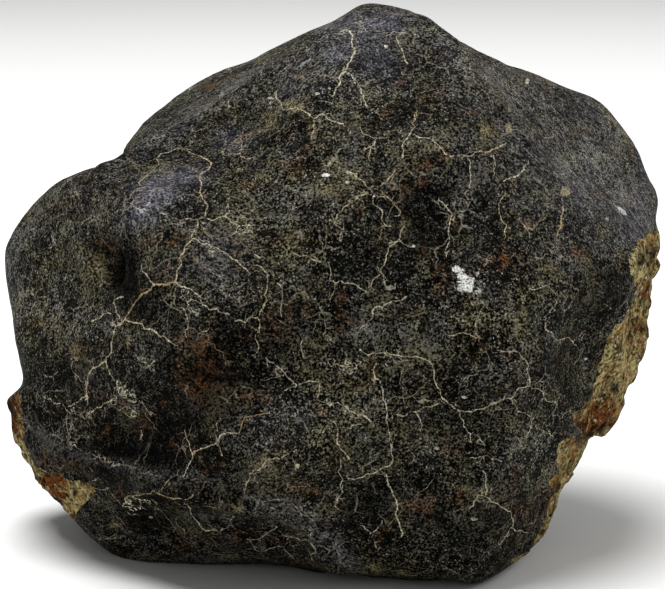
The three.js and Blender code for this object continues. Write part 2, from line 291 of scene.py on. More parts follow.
def path_gap(rays, path, radius):
    """Distance from each ray to a path of arcs on the surface."""
    gap = np.full(len(rays), np.inf)
    corners = unit(path)
    for start, end in zip(corners[:-1], corners[1:]):
        line = end - start
        share = np.clip((rays - start) @ line / (line @ line), 0, 1)
        nearest = unit(start + share[:, None] * line)
        gap = np.minimum(gap, np.linalg.norm(rays - nearest, axis=1) * radius)
    return gap


def swell(rays, height, waves, longest, shortest, turn):
    """Waves in evenly spread directions, shorter ones lower, added up."""
    k = np.arange(waves)
    up = 1 - 2 * (k + 0.5) / waves
    flat = np.sqrt(1 - up * up)
    golden = np.pi * (3 - np.sqrt(5))
    wave = np.stack([flat * np.cos(golden * k), flat * np.sin(golden * k), up])
    wavelength = longest * (shortest / longest) ** (k / (waves - 1))
    phase = 2 * np.pi * FRONT_DEPTH * (rays @ wave) / wavelength + turn * k
    return height * (np.sin(phase) @ (wavelength / longest)) / np.sqrt(waves)


def crust_radius(rays):
    """The body, less the hollows, plus the mounds, crests and slow swells."""
    body = body_radius(rays)
    overlap = np.ones(len(rays))
    for at, length, width, turn, depth in HOLLOWS.values():
        lift = depth * (1 - oval_gap(rays, at, length, width, turn)) / HOLLOW_SOFTNESS
        overlap += np.exp(lift)
    total = body - HOLLOW_SOFTNESS * np.log(overlap)
    for at, length, width, turn, height in MOUNDS.values():
        total += height * np.exp(-oval_gap(rays, at, length, width, turn))
    for path, width, height in CRESTS.values():
        total += height * np.exp(-((path_gap(rays, path, body) / width) ** 2))
    return total + swell(rays, **CRUST_SWELL)


def break_radius(rays):
    """The nearest break along each ray. A break with two planes cuts only beyond both."""
    cuts = [
        np.max([reach(rays, normal, distance) for normal, distance in planes], axis=0)
        for planes in BREAKS.values()
    ]
    return np.min(cuts, axis=0) + swell(rays, **BREAK_SWELL)


print("straight ahead the crust lies", crust_radius(np.array([[0, -1, 0]])).round(1), "mm out")

# %% [markdown]
# ## An even grid on a ball
# A cube's six square grids, swelled to a ball, cover all directions without poles. The tangent
# evens out their spacing. Shifting every direction a little to the front gives the front finer
# squares, because that side is looked at most closely.

# %% The grid of directions
FINE_STEPS = 126
FRONT_FAVOUR = 0.3


def cube_ball(steps):
    """Directions and four-cornered faces of a cube grid: shared edge points are merged by
    their whole-number place on the cube."""
    count = np.arange(steps + 1)
    first, second = np.meshgrid(count, count, indexing="ij")
    sheets = []
    for axis in range(3):
        for side in (0, steps):
            sheet = np.zeros((steps + 1, steps + 1, 3), int)
            sheet[..., axis] = side
            sheet[..., (axis + 1) % 3] = first
            sheet[..., (axis + 2) % 3] = second
            sheets.append(sheet)
    places = np.concatenate([sheet.reshape(-1, 3) for sheet in sheets])
    key = places @ np.array([(steps + 1) ** 2, steps + 1, 1])
    _, kept, number = np.unique(key, return_index=True, return_inverse=True)
    number = number.reshape(6, steps + 1, steps + 1)
    quads = []
    for k, grid in enumerate(number):
        quad = np.stack([grid[:-1, :-1], grid[1:, :-1], grid[1:, 1:], grid[:-1, 1:]], -1)
        quad = quad.reshape(-1, 4)
        quads.append(quad[:, ::-1] if k % 2 == 0 else quad)
    cube = places[kept] / steps * 2 - 1
    return unit(np.tan(cube * np.pi / 4)), np.concatenate(quads)


rays, quads = cube_ball(FINE_STEPS)
rays = unit(rays + FRONT_FAVOUR * np.array([0, -1, 0]))
seen = to_view(rays)
print(len(rays), "points,", 2 * len(quads), "triangles")

# %% The shift to the CAD place
# The CAD part centres the box of its own coarser grid, so the same grid gives the same shift.
CAD_STEPS = 26


def rest_cut(own_rays):
    """Distance along each ray to the plane that the stone rests on."""
    return reach(own_rays, (0, 0, -1), REST_DROP)


coarse, _ = cube_ball(CAD_STEPS)
coarse_seen = to_view(coarse)
coarse_radius = np.minimum(crust_radius(coarse_seen), break_radius(coarse_seen))
coarse_points = coarse * np.minimum(coarse_radius, rest_cut(coarse))[:, None]
middle = (coarse_points.min(0) + coarse_points.max(0)) / 2
SHIFT = np.array([-middle[0], -middle[1], REST_DROP])
print("the stone moves by", SHIFT.round(3), "mm to the CAD place")

# %% [markdown]
# ## The outline, finer
# The CAD solid keeps the outline's main turns. Here small lifts and cuts of a millimetre or so
# follow it more closely. Each one fades out to both sides, to the front and to the back.

# %% Trim the outline
# angle round the outline from the right, half width in degrees, height in mm
TRIMS = [
    (-168, 5, 1.0), (-160, 3, 0.9), (-159, 5, 0.5), (-147, 7, -0.5), (-140, 3, -0.5), (-130, 9, 1.2),
    (-116, 8, 0.5), (-88, 3, -0.9), (-83, 3, 0.6), (-63, 9, -0.6), (-40, 13, -1.3), (-28, 4, -0.6),
    (-12, 5, 0.5), (3, 3, 0.4), (6, 3.5, 0.9), (13, 3.5, -1.5), (21, 4, -0.9), (48, 16, -1.3),
    (69, 5, -1.5), (79, 4, -0.4), (84, 3, 0.5), (88, 3, -0.4), (91, 6, -0.6), (101, 4, -0.3),
    (114, 5, 0.6), (127, 15, 1.3), (139, 6, 0.9), (144, 4, 0.4), (148, 3, -2.2), (159, 4, 0.9),
]


def rim_latitude(rays):
    """The angle of each ray behind the outline: below zero on the side that the camera sees."""
    radius, away = rim(np.arctan2(rays[:, 2], rays[:, 0]))
    across = np.hypot(rays[:, 0], rays[:, 2])
    return np.arctan2(rays[:, 1], across) - np.arctan2(away, radius)


def trim(rays):
    """The lifts and cuts, added up: a bell along the outline times a bell across it."""
    angle = np.degrees(np.arctan2(rays[:, 2], rays[:, 0]))
    total = np.zeros(len(rays))
    for at, half_width, height in TRIMS:
        gap = (angle - at + 180) % 360 - 180
        total += height * np.exp(-((gap / half_width) ** 2))
    return total * np.exp(-((rim_latitude(rays) / RIM_REACH) ** 2))


def surface_radius(rays):
    """The stone without its grain."""
    return np.minimum(crust_radius(rays), break_radius(rays)) + trim(rays)


trimmed = trim(seen)
crusted = crust_radius(seen) + trimmed
broken = break_radius(seen) + trimmed
smooth = np.minimum(crusted, broken)
print("the trims reach from", trimmed.min().round(2), "to", trimmed.max().round(2), "mm")

# %% [markdown]
# ## Grain
# The crust froze from a melt full of tiny bubbles and ripples, so it is knobbly at every size.
# Random numbers on a lattice, eased between its corners, give bumps of one size; several sizes
# added up give a natural grain. The whole-number hash makes the same stone every time.


# %% Noise on a lattice
def lattice_value(cells, seed):
    """A repeatable number from 0 to 1 for each cell: large odd factors mix its three places."""
    x, y, z = np.moveaxis(cells.astype(np.int64).astype(np.uint32), -1, 0)
    n = x * np.uint32(374761393) + y * np.uint32(668265263) + z * np.uint32(3266489917)
    n = n + np.uint32(seed * 1013904223 % 2**32)
    n = (n ^ (n >> np.uint32(13))) * np.uint32(1274126177)
    n = (n ^ (n >> np.uint32(15))) * np.uint32(2246822519)
    return (n ^ (n >> np.uint32(16))).astype(float) / 2**32


def noise(points, size, seed):
    """Smooth noise from -1 to 1 with bumps of one size: lattice values eased between corners."""
    scaled = points / size
    base = np.floor(scaled)
    share = scaled - base
    share = share * share * (3 - 2 * share)
    total = np.zeros(len(points))
    for corner in np.ndindex(2, 2, 2):
        weight = np.prod(np.where(corner, share, 1 - share), axis=1)
        total += weight * lattice_value(base + corner, seed)
    return total * 2 - 1


def layers(points, table):
    """Noises of several sizes added up. A row of the table is a size, a height and a seed."""
    return sum(height * noise(points, size, seed) for size, height, seed in table)


def ease(values, low, high):
    """0 below low, 1 above high, and a smooth step between."""
    s = np.clip((values - low) / (high - low), 0, 1)
    return s * s * (3 - 2 * s)


print("noise spread:", noise(seen * smooth[:, None], 3.0, 1).std().round(3))

# %% [markdown]
# ## Marks seen from the front
# The front's cracks and stains are drawn where the camera sees them, in pixels of its picture,
# and laid on the surface by following each line of sight until it meets the stone.


# %% From the picture to the surface
# where the search starts and ends, in parts of the eye's distance
SIGHT_START = 0.86
SIGHT_END = 1.10
SIGHT_STEPS = 61
HALVINGS = 10


def to_picture(points):
    """Where a point shows in the camera's picture, in pixels across and down: its place
    shrunk by how far behind the middle it lies."""
    shrink = EYE_DISTANCE / (EYE_DISTANCE + points[:, 1])
    across = PICTURE[0] / 2 + points[:, 0] * shrink / PIXEL
    down = PICTURE[1] / 2 - points[:, 2] * shrink / PIXEL
    return np.stack([across, down], 1)


def lay_on_surface(picture_points):
    """The first place where each line of sight meets the stone: steps along it, then halving.
    A line that just misses the stone takes its nearest pass, and both end on the surface."""
    flat = (np.asarray(picture_points, float) - np.array(PICTURE) / 2) * [PIXEL, -PIXEL]
    aim = np.stack([flat[:, 0], np.full(len(flat), EYE_DISTANCE), flat[:, 1]], 1)
    eye = np.array([0, -EYE_DISTANCE, 0])

    def clearance(share):
        points = eye + share[:, None] * aim
        length = np.linalg.norm(points, axis=1)
        return length - surface_radius(points / length[:, None])

    steps = np.linspace(SIGHT_START, SIGHT_END, SIGHT_STEPS)
    clear = np.array([clearance(np.full(len(aim), step)) for step in steps])
    hit = (clear < 0).any(0)
    first = np.where(hit, (clear < 0).argmax(0), clear.argmin(0))
    far = steps[first]
    near = np.where(hit, steps[np.maximum(first - 1, 0)], far)
    for _ in range(HALVINGS):
        halfway = (near + far) / 2
        outside = clearance(halfway) > 0
        near, far = np.where(outside, halfway, near), np.where(outside, far, halfway)
    points = eye + far[:, None] * aim
    view_rays = unit(points)
    return view_rays * surface_radius(view_rays)[:, None]


print("the picture's middle lies at", lay_on_surface([[332, 290]]).round(1), "mm")

# %% [markdown]
# ## The cracks
# The crust shrank as it cooled and split into a net of thin cracks, and pale salts and rust
# filled them. Each crack here is a line of a few points with a width and a share of rust. On
# the sides that the camera doesn't see, random walks over the surface carry the net on.

# %% The cracks on the upper and left front
# half width in mm, share of rust, points in picture pixels
CRACKS = {
    "shoulder": [
        (0.17, 0.5, [(160, 154), (173, 150), (182, 148), (188, 151), (200, 156), (208, 160), (211, 163),
            (209, 168), (202, 172), (201, 183), (199, 193), (204, 201), (207, 208), (206, 217)]),
        (0.13, 0.7, [(161, 154), (159, 162), (152, 171), (146, 177), (139, 184)]),
        (0.14, 0.2, [(206, 217), (199, 220), (190, 218), (182, 220)]),
        (0.10, 0.1, [(177, 219), (167, 215), (158, 213)]),
        (0.13, 0.1, [(149, 216), (143, 212), (133, 206)]),
        (0.10, 0.3, [(222, 138), (224, 146), (222, 154), (232, 154), (241, 157), (246, 159),
            (253, 157)]),
        (0.10, 0.2, [(243, 131), (243, 143), (242, 150), (245, 158)]),
    ],
    "upper left face": [
        (0.15, 0.1, [(206, 217), (212, 220), (218, 218), (225, 216), (232, 222), (238, 225), (248, 224),
            (255, 225)]),
        (0.14, 0.0, [(240, 226), (236, 232), (231, 236)]),
        (0.14, 0.0, [(248, 224), (249, 231), (243, 233)]),
        (0.12, 0.0, [(228, 204), (229, 212), (226, 217)]),
        (0.17, 0.6, [(199, 220), (197, 229), (193, 233), (192, 238), (187, 244), (184, 252), (181, 260),
            (179, 268), (177, 277), (175, 282)]),
        (0.16, 0.1, [(192, 238), (197, 239), (204, 244), (211, 246), (218, 248), (225, 253), (231, 258),
            (237, 261), (245, 268), (250, 273)]),
        (0.10, 0.0, [(213, 248), (211, 252), (209, 258)]),
        (0.09, 0.0, [(200, 263), (210, 270), (218, 275), (223, 278)]),
        (0.13, 0.3, [(253, 251), (259, 257)]),
        (0.16, 0.5, [(256, 265), (263, 268), (267, 273), (268, 281), (267, 289), (264, 295), (267, 301),
            (263, 308), (260, 313)]),
        (0.14, 0.3, [(234, 321), (245, 323), (252, 318), (258, 317), (260, 323), (259, 331), (255, 339),
            (258, 345), (258, 351), (255, 359)]),
        (0.12, 0.2, [(277, 283), (283, 288), (283, 298), (281, 307), (282, 318)]),
        (0.12, 0.3, [(289, 247), (300, 256), (312, 259), (320, 262)]),
    ],
    "left junction": [
        (0.28, 0.8, [(175, 282), (168, 285), (160, 284), (154, 285), (145, 293), (138, 298), (133, 305),
            (129, 311), (124, 320)]),
        (0.18, 0.2, [(154, 285), (152, 282), (147, 274), (142, 270), (142, 263)]),
        (0.15, 0.1, [(175, 282), (181, 287), (188, 289), (195, 293), (201, 297), (207, 298)]),
        (0.11, 0.0, [(182, 290), (185, 298), (190, 307), (197, 313)]),
        (0.13, 0.0, [(190, 300), (198, 302), (207, 306), (213, 310), (222, 313), (229, 315)]),
        (0.11, 0.1, [(182, 307), (186, 315), (188, 328), (186, 337)]),
        (0.10, 0.4, [(210, 327), (203, 331), (197, 335)]),
        (0.25, 0.4, [(124, 320), (117, 324), (114, 328), (112, 335), (111, 345), (109, 354), (104, 362),
            (97, 367), (91, 370), (87, 376), (87, 384), (87, 395), (87, 406)]),
        (0.20, 0.1, [(106, 358), (107, 366), (110, 374), (115, 380), (120, 388), (124, 393)]),
        (0.23, 0.4, [(124, 320), (133, 323), (142, 324), (149, 329), (157, 333), (163, 336), (170, 341),
            (178, 345)]),
        (0.16, 0.0, [(119, 319), (116, 313), (114, 305), (113, 301), (117, 298), (123, 297)]),
        (0.15, 0.3, [(92, 321), (100, 318), (105, 313), (111, 314)]),
        (0.14, 0.1, [(107, 320), (110, 324), (114, 322)]),
        (0.11, 0.0, [(136, 358), (145, 362), (153, 368), (152, 364), (156, 361)]),
        (0.12, 0.3, [(78, 358), (70, 361), (71, 370), (78, 377), (82, 382)]),
        (0.12, 0.4, [(43, 375), (48, 378), (53, 375), (58, 371)]),
        (0.10, 0.9, [(61, 357), (67, 354), (73, 357), (80, 356)]),
    ],
    "left cheek foot": [
        (0.15, 0.0, [(87, 395), (81, 398), (76, 402), (73, 408), (74, 413), (78, 419)]),
        (0.15, 0.2, [(42, 396), (50, 399), (57, 404), (66, 407), (73, 406)]),
        (0.12, 0.0, [(67, 407), (67, 415), (66, 425), (68, 433), (72, 440), (78, 445)]),
        (0.13, 0.0, [(78, 415), (82, 415), (85, 419)]),
        (0.14, 0.1, [(88, 413), (94, 410), (100, 408), (104, 403), (109, 402), (113, 407)]),
        (0.10, 0.0, [(142, 402), (147, 410), (152, 416)]),
        (0.12, 0.0, [(140, 430), (142, 434), (139, 438), (141, 443)]),
    ],
    "crown": [
        (0.20, 0.2, [(340, 31), (348, 29), (353, 35), (352, 42), (355, 50), (352, 57), (348, 64),
            (344, 72), (339, 78), (337, 86), (335, 93), (331, 96)]),
        (0.13, 0.2, [(361, 28), (365, 32), (373, 31), (379, 31), (387, 32), (393, 34), (397, 40),
            (400, 46), (403, 55), (408, 64)]),
        (0.11, 0.1, [(392, 32), (403, 34), (412, 36), (419, 38)]),
        (0.15, 0.3, [(345, 73), (353, 77), (358, 83), (361, 90), (364, 96), (365, 102), (368, 107)]),
        (0.11, 0.0, [(322, 71), (327, 76), (331, 78)]),
        (0.21, 0.2, [(277, 90), (278, 100), (283, 110), (291, 108), (301, 110), (308, 113), (313, 118),
            (320, 115), (327, 117), (334, 121), (343, 124)]),
        (0.14, 0.3, [(313, 118), (314, 124), (315, 131), (312, 138)]),
        (0.12, 0.2, [(228, 100), (229, 108)]),
        (0.13, 0.6, [(375, 112), (379, 115), (383, 121)]),
    ],
    "upper face": [
        (0.12, 0.3, [(360, 128), (370, 136), (377, 138), (383, 138), (388, 137)]),
        (0.12, 0.2, [(376, 139), (374, 144), (370, 151), (369, 158)]),
        (0.16, 0.5, [(414, 115), (411, 123), (410, 133), (407, 139), (403, 143), (404, 150),
            (403, 158)]),
        (0.15, 0.3, [(410, 133), (417, 137), (423, 137), (432, 139), (438, 144), (443, 150),
            (446, 156)]),
        (0.13, 0.6, [(400, 167), (394, 170), (391, 176), (386, 183), (380, 187)]),
        (0.12, 0.2, [(347, 171), (356, 176), (363, 181), (369, 188), (373, 194), (373, 204)]),
        (0.11, 0.2, [(373, 194), (366, 194), (358, 197), (352, 202), (344, 207), (337, 214), (333, 222),
            (340, 227), (342, 233), (340, 240)]),
        (0.14, 0.4, [(374, 205), (379, 208), (383, 213), (381, 219), (385, 225), (391, 226)]),
        (0.13, 0.4, [(373, 194), (381, 197), (390, 199), (396, 206), (401, 212), (395, 216)]),
        (0.14, 0.3, [(404, 226), (400, 234), (399, 240), (393, 244), (388, 249), (386, 257), (384, 265),
            (381, 274), (375, 278), (371, 286)]),
        (0.14, 0.0, [(382, 274), (384, 283), (389, 290), (395, 288)]),
        (0.10, 0.5, [(400, 241), (408, 246), (416, 247)]),
        (0.13, 0.2, [(328, 262), (331, 272), (329, 280), (336, 283), (344, 283), (352, 284), (359, 288),
            (366, 291)]),
        (0.10, 0.1, [(335, 284), (335, 290), (330, 298), (328, 306)]),
        (0.14, 0.1, [(438, 200), (444, 204), (448, 210), (451, 218), (449, 226), (450, 240),
            (447, 258)]),
        (0.12, 0.1, [(463, 155), (470, 162), (471, 175), (470, 188), (468, 200)]),
        (0.13, 0.3, [(505, 190), (500, 200), (499, 212), (502, 222), (504, 232), (504, 240)]),
        (0.10, 0.2, [(522, 224), (527, 230), (530, 238)]),
    ],
    "right flank": [
        (0.13, 0.2, [(446, 156), (455, 155), (463, 154), (473, 155), (479, 151), (489, 151), (497, 148),
            (507, 143)]),
        (0.14, 0.2, [(504, 181), (514, 177), (520, 173), (524, 165), (528, 160)]),
        (0.12, 0.0, [(494, 155), (496, 167), (495, 175)]),
        (0.12, 0.1, [(563, 162), (568, 168), (572, 173)]),
        (0.24, 0.9, [(563, 205), (562, 214), (561, 222), (559, 230), (557, 236)]),
        (0.09, 0.1, [(537, 258), (546, 253), (555, 250)]),
        (0.12, 0.1, [(531, 290), (540, 288), (547, 286), (553, 291)]),
        (0.12, 0.1, [(557, 298), (553, 307), (549, 313), (544, 318)]),
        (0.15, 0.2, [(546, 322), (548, 331), (553, 337), (561, 340), (569, 338), (573, 341),
            (577, 345)]),
        (0.09, 0.0, [(581, 340), (584, 333)]),
        (0.11, 0.1, [(484, 305), (478, 316), (475, 325), (474, 332)]),
        (0.13, 0.8, [(448, 336), (458, 334), (468, 334), (479, 338)]),
    ],
}
print(sum(len(group) for group in CRACKS.values()), "cracks are drawn so far")

# %% The cracks on the middle and lower front
CRACKS |= {
    "middle": [
        (0.16, 0.3, [(406, 297), (397, 301), (387, 304), (376, 306), (372, 311), (372, 318), (366, 325),
            (360, 329)]),
        (0.16, 0.1, [(360, 350), (368, 355), (376, 353), (387, 353), (397, 355), (408, 357), (420, 357),
            (428, 361), (432, 368), (434, 378), (437, 387), (441, 395), (446, 401), (452, 405),
            (457, 410), (458, 418)]),
        (0.15, 0.1, [(376, 363), (373, 371), (375, 378), (380, 385), (383, 394), (385, 402), (387, 411),
            (386, 421), (388, 428), (390, 436), (392, 447), (393, 458), (389, 466), (380, 468),
            (372, 473), (363, 477), (355, 479), (347, 478)]),
        (0.15, 0.1, [(266, 357), (275, 363), (281, 369), (286, 376), (293, 382), (297, 386)]),
        (0.10, 0.0, [(264, 381), (273, 378), (280, 377)]),
        (0.12, 0.2, [(284, 391), (293, 387), (302, 383), (310, 381), (318, 382), (320, 388), (318, 394),
            (316, 400), (323, 402), (330, 404)]),
        (0.13, 0.1, [(302, 340), (301, 348), (303, 357)]),
        (0.10, 0.1, [(411, 322), (413, 329)]),
        (0.10, 0.1, [(323, 336), (331, 338)]),
        (0.10, 0.1, [(320, 307), (325, 316), (326, 328), (323, 335)]),
    ],
    "lower left": [
        (0.17, 0.1, [(185, 429), (187, 438), (190, 446), (194, 451), (200, 449), (207, 447), (214, 444),
            (218, 441), (221, 435), (226, 433), (232, 433), (239, 434)]),
        (0.14, 1.0, [(239, 434), (241, 428), (243, 420), (245, 417), (253, 416), (261, 414),
            (268, 413)]),
        (0.15, 0.2, [(194, 451), (193, 457), (190, 463), (187, 469), (183, 477)]),
        (0.13, 0.0, [(218, 442), (221, 450), (223, 457)]),
        (0.12, 0.0, [(217, 430), (216, 425), (218, 421), (221, 418)]),
        (0.15, 0.7, [(122, 507), (125, 499), (131, 495), (142, 494), (150, 494), (160, 495), (167, 497),
            (175, 499), (184, 500), (190, 498), (194, 494)]),
        (0.19, 0.2, [(184, 500), (187, 506), (190, 512), (194, 518), (199, 523), (201, 528), (207, 532),
            (213, 530), (223, 530)]),
        (0.13, 0.1, [(107, 540), (110, 537), (114, 534)]),
        (0.09, 0.1, [(91, 472), (90, 482)]),
        (0.10, 0.3, [(160, 490), (165, 485), (168, 482)]),
        (0.16, 0.4, [(245, 491), (247, 482), (249, 474), (253, 469), (258, 471), (262, 466), (266, 461),
            (272, 459), (280, 459), (288, 454)]),
        (0.10, 0.0, [(295, 450), (293, 458), (296, 465)]),
        (0.17, 0.3, [(251, 543), (256, 551), (262, 552), (268, 549), (277, 547), (283, 548), (289, 554),
            (294, 560)]),
        (0.17, 0.3, [(247, 540), (259, 539), (266, 534), (271, 531), (278, 527)]),
        (0.09, 0.1, [(262, 541), (266, 547)]),
        (0.15, 0.2, [(283, 535), (295, 538), (307, 540), (312, 545), (315, 552), (312, 559)]),
        (0.15, 0.1, [(308, 529), (310, 537)]),
        (0.08, 0.0, [(273, 508), (283, 505), (292, 504), (300, 507), (309, 512)]),
    ],
    "lip": [
        (0.07, 0.0, [(50, 433), (59, 438), (68, 443), (77, 448), (86, 453), (94, 455), (102, 458),
            (114, 462), (123, 465), (132, 468), (140, 471), (148, 473), (160, 475), (172, 477),
            (182, 477), (192, 477)]),
        (0.10, 0.0, [(101, 457), (108, 460), (113, 462)]),
        (0.08, 0.0, [(251, 496), (269, 500), (285, 504), (297, 508), (309, 518), (317, 527)]),
        (0.08, 0.0, [(325, 536), (337, 552), (351, 570)]),
    ],
    "lower middle": [
        (0.15, 0.0, [(338, 403), (347, 407), (354, 412), (362, 415), (367, 417), (371, 421)]),
        (0.14, 0.0, [(343, 428), (352, 426), (363, 424)]),
        (0.15, 0.3, [(331, 420), (336, 424), (338, 433), (337, 440), (340, 447), (345, 453),
            (349, 459)]),
        (0.13, 0.1, [(340, 460), (341, 468), (343, 480), (343, 491), (338, 497), (335, 503), (339, 509),
            (343, 513)]),
        (0.18, 0.1, [(380, 469), (386, 475), (388, 485), (392, 492), (396, 498), (397, 506), (395, 513),
            (398, 520), (400, 528), (401, 538)]),
        (0.15, 0.0, [(395, 415), (402, 416), (408, 412), (415, 412), (419, 417), (422, 425),
            (421, 432)]),
        (0.13, 0.0, [(415, 412), (421, 410), (430, 407), (439, 403)]),
        (0.13, 0.0, [(361, 525), (366, 529), (370, 533), (375, 530), (379, 525), (382, 520)]),
        (0.11, 0.0, [(374, 540), (376, 547)]),
    ],
    "lower right": [
        (0.15, 0.1, [(457, 411), (470, 412), (480, 410), (489, 407), (497, 403), (504, 399), (512, 398),
            (516, 391), (518, 388), (525, 387), (532, 386), (538, 388), (543, 393), (545, 399),
            (550, 402), (558, 405)]),
        (0.15, 0.2, [(497, 350), (507, 351), (516, 351), (521, 357), (526, 362), (528, 371), (530, 380),
            (530, 386)]),
        (0.16, 0.0, [(460, 412), (463, 420), (466, 429), (470, 437), (472, 443)]),
        (0.11, 0.0, [(512, 399), (516, 407), (522, 412), (530, 417), (534, 423), (540, 429), (547, 433),
            (554, 438)]),
        (0.14, 0.0, [(531, 424), (528, 433), (526, 442)]),
        (0.10, 0.3, [(520, 370), (523, 378)]),
        (0.12, 0.1, [(480, 439), (485, 446)]),
        (0.12, 0.2, [(470, 457), (482, 457), (492, 460), (503, 462)]),
        (0.18, 0.4, [(483, 471), (487, 479), (486, 487), (484, 496)]),
        (0.17, 0.3, [(484, 496), (478, 494), (476, 500), (473, 506), (469, 509)]),
        (0.15, 0.1, [(484, 496), (492, 502), (500, 506), (508, 511), (512, 518), (512, 527), (515, 531),
            (521, 530), (526, 527), (530, 521), (533, 516)]),
        (0.12, 0.0, [(512, 524), (508, 533), (504, 539), (500, 546)]),
    ],
}
# middle and radius in picture pixels of small worm-like rings of pale salt
RINGS = [
    (114, 402, 3.5), (121, 391, 3.4), (128, 398, 3.0), (132, 393, 2.8), (119, 384, 2.6),
    (127, 388, 2.2), (134, 400, 2.4), (133, 414, 3.0), (137, 497, 2.6), (143, 501, 2.4),
    (149, 502, 2.4), (131, 508, 3.2), (138, 509, 2.6), (128, 502, 2.6), (348, 362, 3.0),
    (354, 366, 2.6), (342, 368, 2.8), (350, 372, 2.6), (332, 362, 3.2),
]
print(sum(len(group) for group in CRACKS.values()), "cracks are drawn on the front")

# %% Wander the cracks, and carry the net on over the unseen sides
chance = np.random.default_rng(7)
CRACK_WANDER = 0.13
RING_POINTS = 9
RING_WANDER = 0.5
RING_HALF_WIDTH = 0.13
RING_RUST = 0.05
HIDDEN_CRACKS = 64
HIDDEN_STEPS = 16
HIDDEN_STEP_LENGTH = 1.7
HIDDEN_TURN = 0.42
# the walks' starts lean to the back, and nothing is kept that points less far back than this
HIDDEN_LEAN = (0, 1.1, 0.1)
HIDDEN_START = 0.12


def wandering(points, wander):
    """The line with a point added halfway along each piece, pushed sideways at random and put
    back on the surface."""
    start, end = points[:-1], points[1:]
    length = np.linalg.norm(end - start, axis=1, keepdims=True)
    halfway = unit((start + end) / 2 + chance.normal(0, wander, start.shape) * length)
    halfway = halfway * surface_radius(halfway)[:, None]
    woven = np.empty((2 * len(start) + 1, 3))
    woven[0::2] = points
    woven[1::2] = halfway
    return woven


turns = np.linspace(0, 2 * np.pi, RING_POINTS)
drawn = [crack for group in CRACKS.values() for crack in group]
for across, down, radius in RINGS:
    ring = np.stack([across + radius * np.cos(turns), down + radius * np.sin(turns)], 1)
    ring += chance.normal(0, RING_WANDER, ring.shape)
    drawn.append((RING_HALF_WIDTH, RING_RUST, ring))
laid = lay_on_surface(np.concatenate([points for _, _, points in drawn]))
ends = np.cumsum([len(points) for _, _, points in drawn])[:-1]
crack_lines = []
for (half_width, rust, _), line in zip(drawn, np.split(laid, ends)):
    crack_lines.append((half_width, rust, wandering(line, CRACK_WANDER)))


def random_walks(starts, headings, steps):
    """Lines of unit directions: each step goes on along the heading, which turns a little."""
    places, walks = unit(starts), [unit(starts)]
    for _ in range(steps):
        places = unit(places + headings * HIDDEN_STEP_LENGTH / FRONT_DEPTH)
        headings = unit(headings - (headings * places).sum(1, keepdims=True) * places)
        angle = chance.normal(0, HIDDEN_TURN, (len(places), 1))
        headings = headings * np.cos(angle) + np.cross(places, headings) * np.sin(angle)
        walks.append(places)
    return np.stack(walks, 1)


starts = unit(chance.normal(0, 1, (HIDDEN_CRACKS, 3)) + HIDDEN_LEAN)
first_walks = random_walks(starts, unit(np.cross(starts, chance.normal(0, 1, starts.shape))),
                           HIDDEN_STEPS)
joints = first_walks[:, HIDDEN_STEPS // 3]
side = unit(np.cross(joints, first_walks[:, HIDDEN_STEPS // 3 + 1] - joints))
branches = random_walks(joints, side, HIDDEN_STEPS // 2)
for walk in [*first_walks, *branches]:
    hidden = walk[walk[:, 1] > HIDDEN_START]
    if len(hidden) > 2:
        line = hidden * surface_radius(hidden)[:, None]
        crack_lines.append((chance.uniform(0.06, 0.18), chance.uniform(0, 0.8) ** 2, line))
print(len(crack_lines), "cracks in all")

# %% [markdown]
# The material draws each crack as a line much finer than the grid. For this every grid point
# keeps the arrow to its nearest crack. The renderer blends the arrows between grid points, and
# where the blend passes through zero, the crack runs, however coarse the grid is.

# %% The arrow from each point to its nearest crack
CRACK_REACH = 4.0
smooth_points = seen * smooth[:, None]
arrows = np.zeros_like(smooth_points)
crack_gap = np.full(len(seen), CRACK_REACH)
crack_width = np.full(len(seen), 0.1)
crack_rust = np.zeros(len(seen))
for half_width, rust, line in crack_lines:
    centre = (line.min(0) + line.max(0)) / 2
    size = np.linalg.norm(line - centre, axis=1).max() + CRACK_REACH
    close = np.flatnonzero(np.linalg.norm(smooth_points - centre, axis=1) < size)
    points = smooth_points[close, None, :]
    start, piece = line[None, :-1], (line[1:] - line[:-1])[None]
    share = np.clip(((points - start) * piece).sum(2) / (piece**2).sum(2), 0, 1)
    arrow = start + share[..., None] * piece - points
    gaps = np.linalg.norm(arrow, axis=2)
    nearest = gaps.argmin(1)
    gap = gaps[np.arange(len(close)), nearest]
    closer = gap < crack_gap[close]
    kept = close[closer]
    crack_gap[kept] = gap[closer]
    arrows[kept] = arrow[np.arange(len(close)), nearest][closer]
    crack_width[kept] = half_width
    crack_rust[kept] = rust
print((crack_gap < 1).sum(), "points lie within a millimetre of a crack")
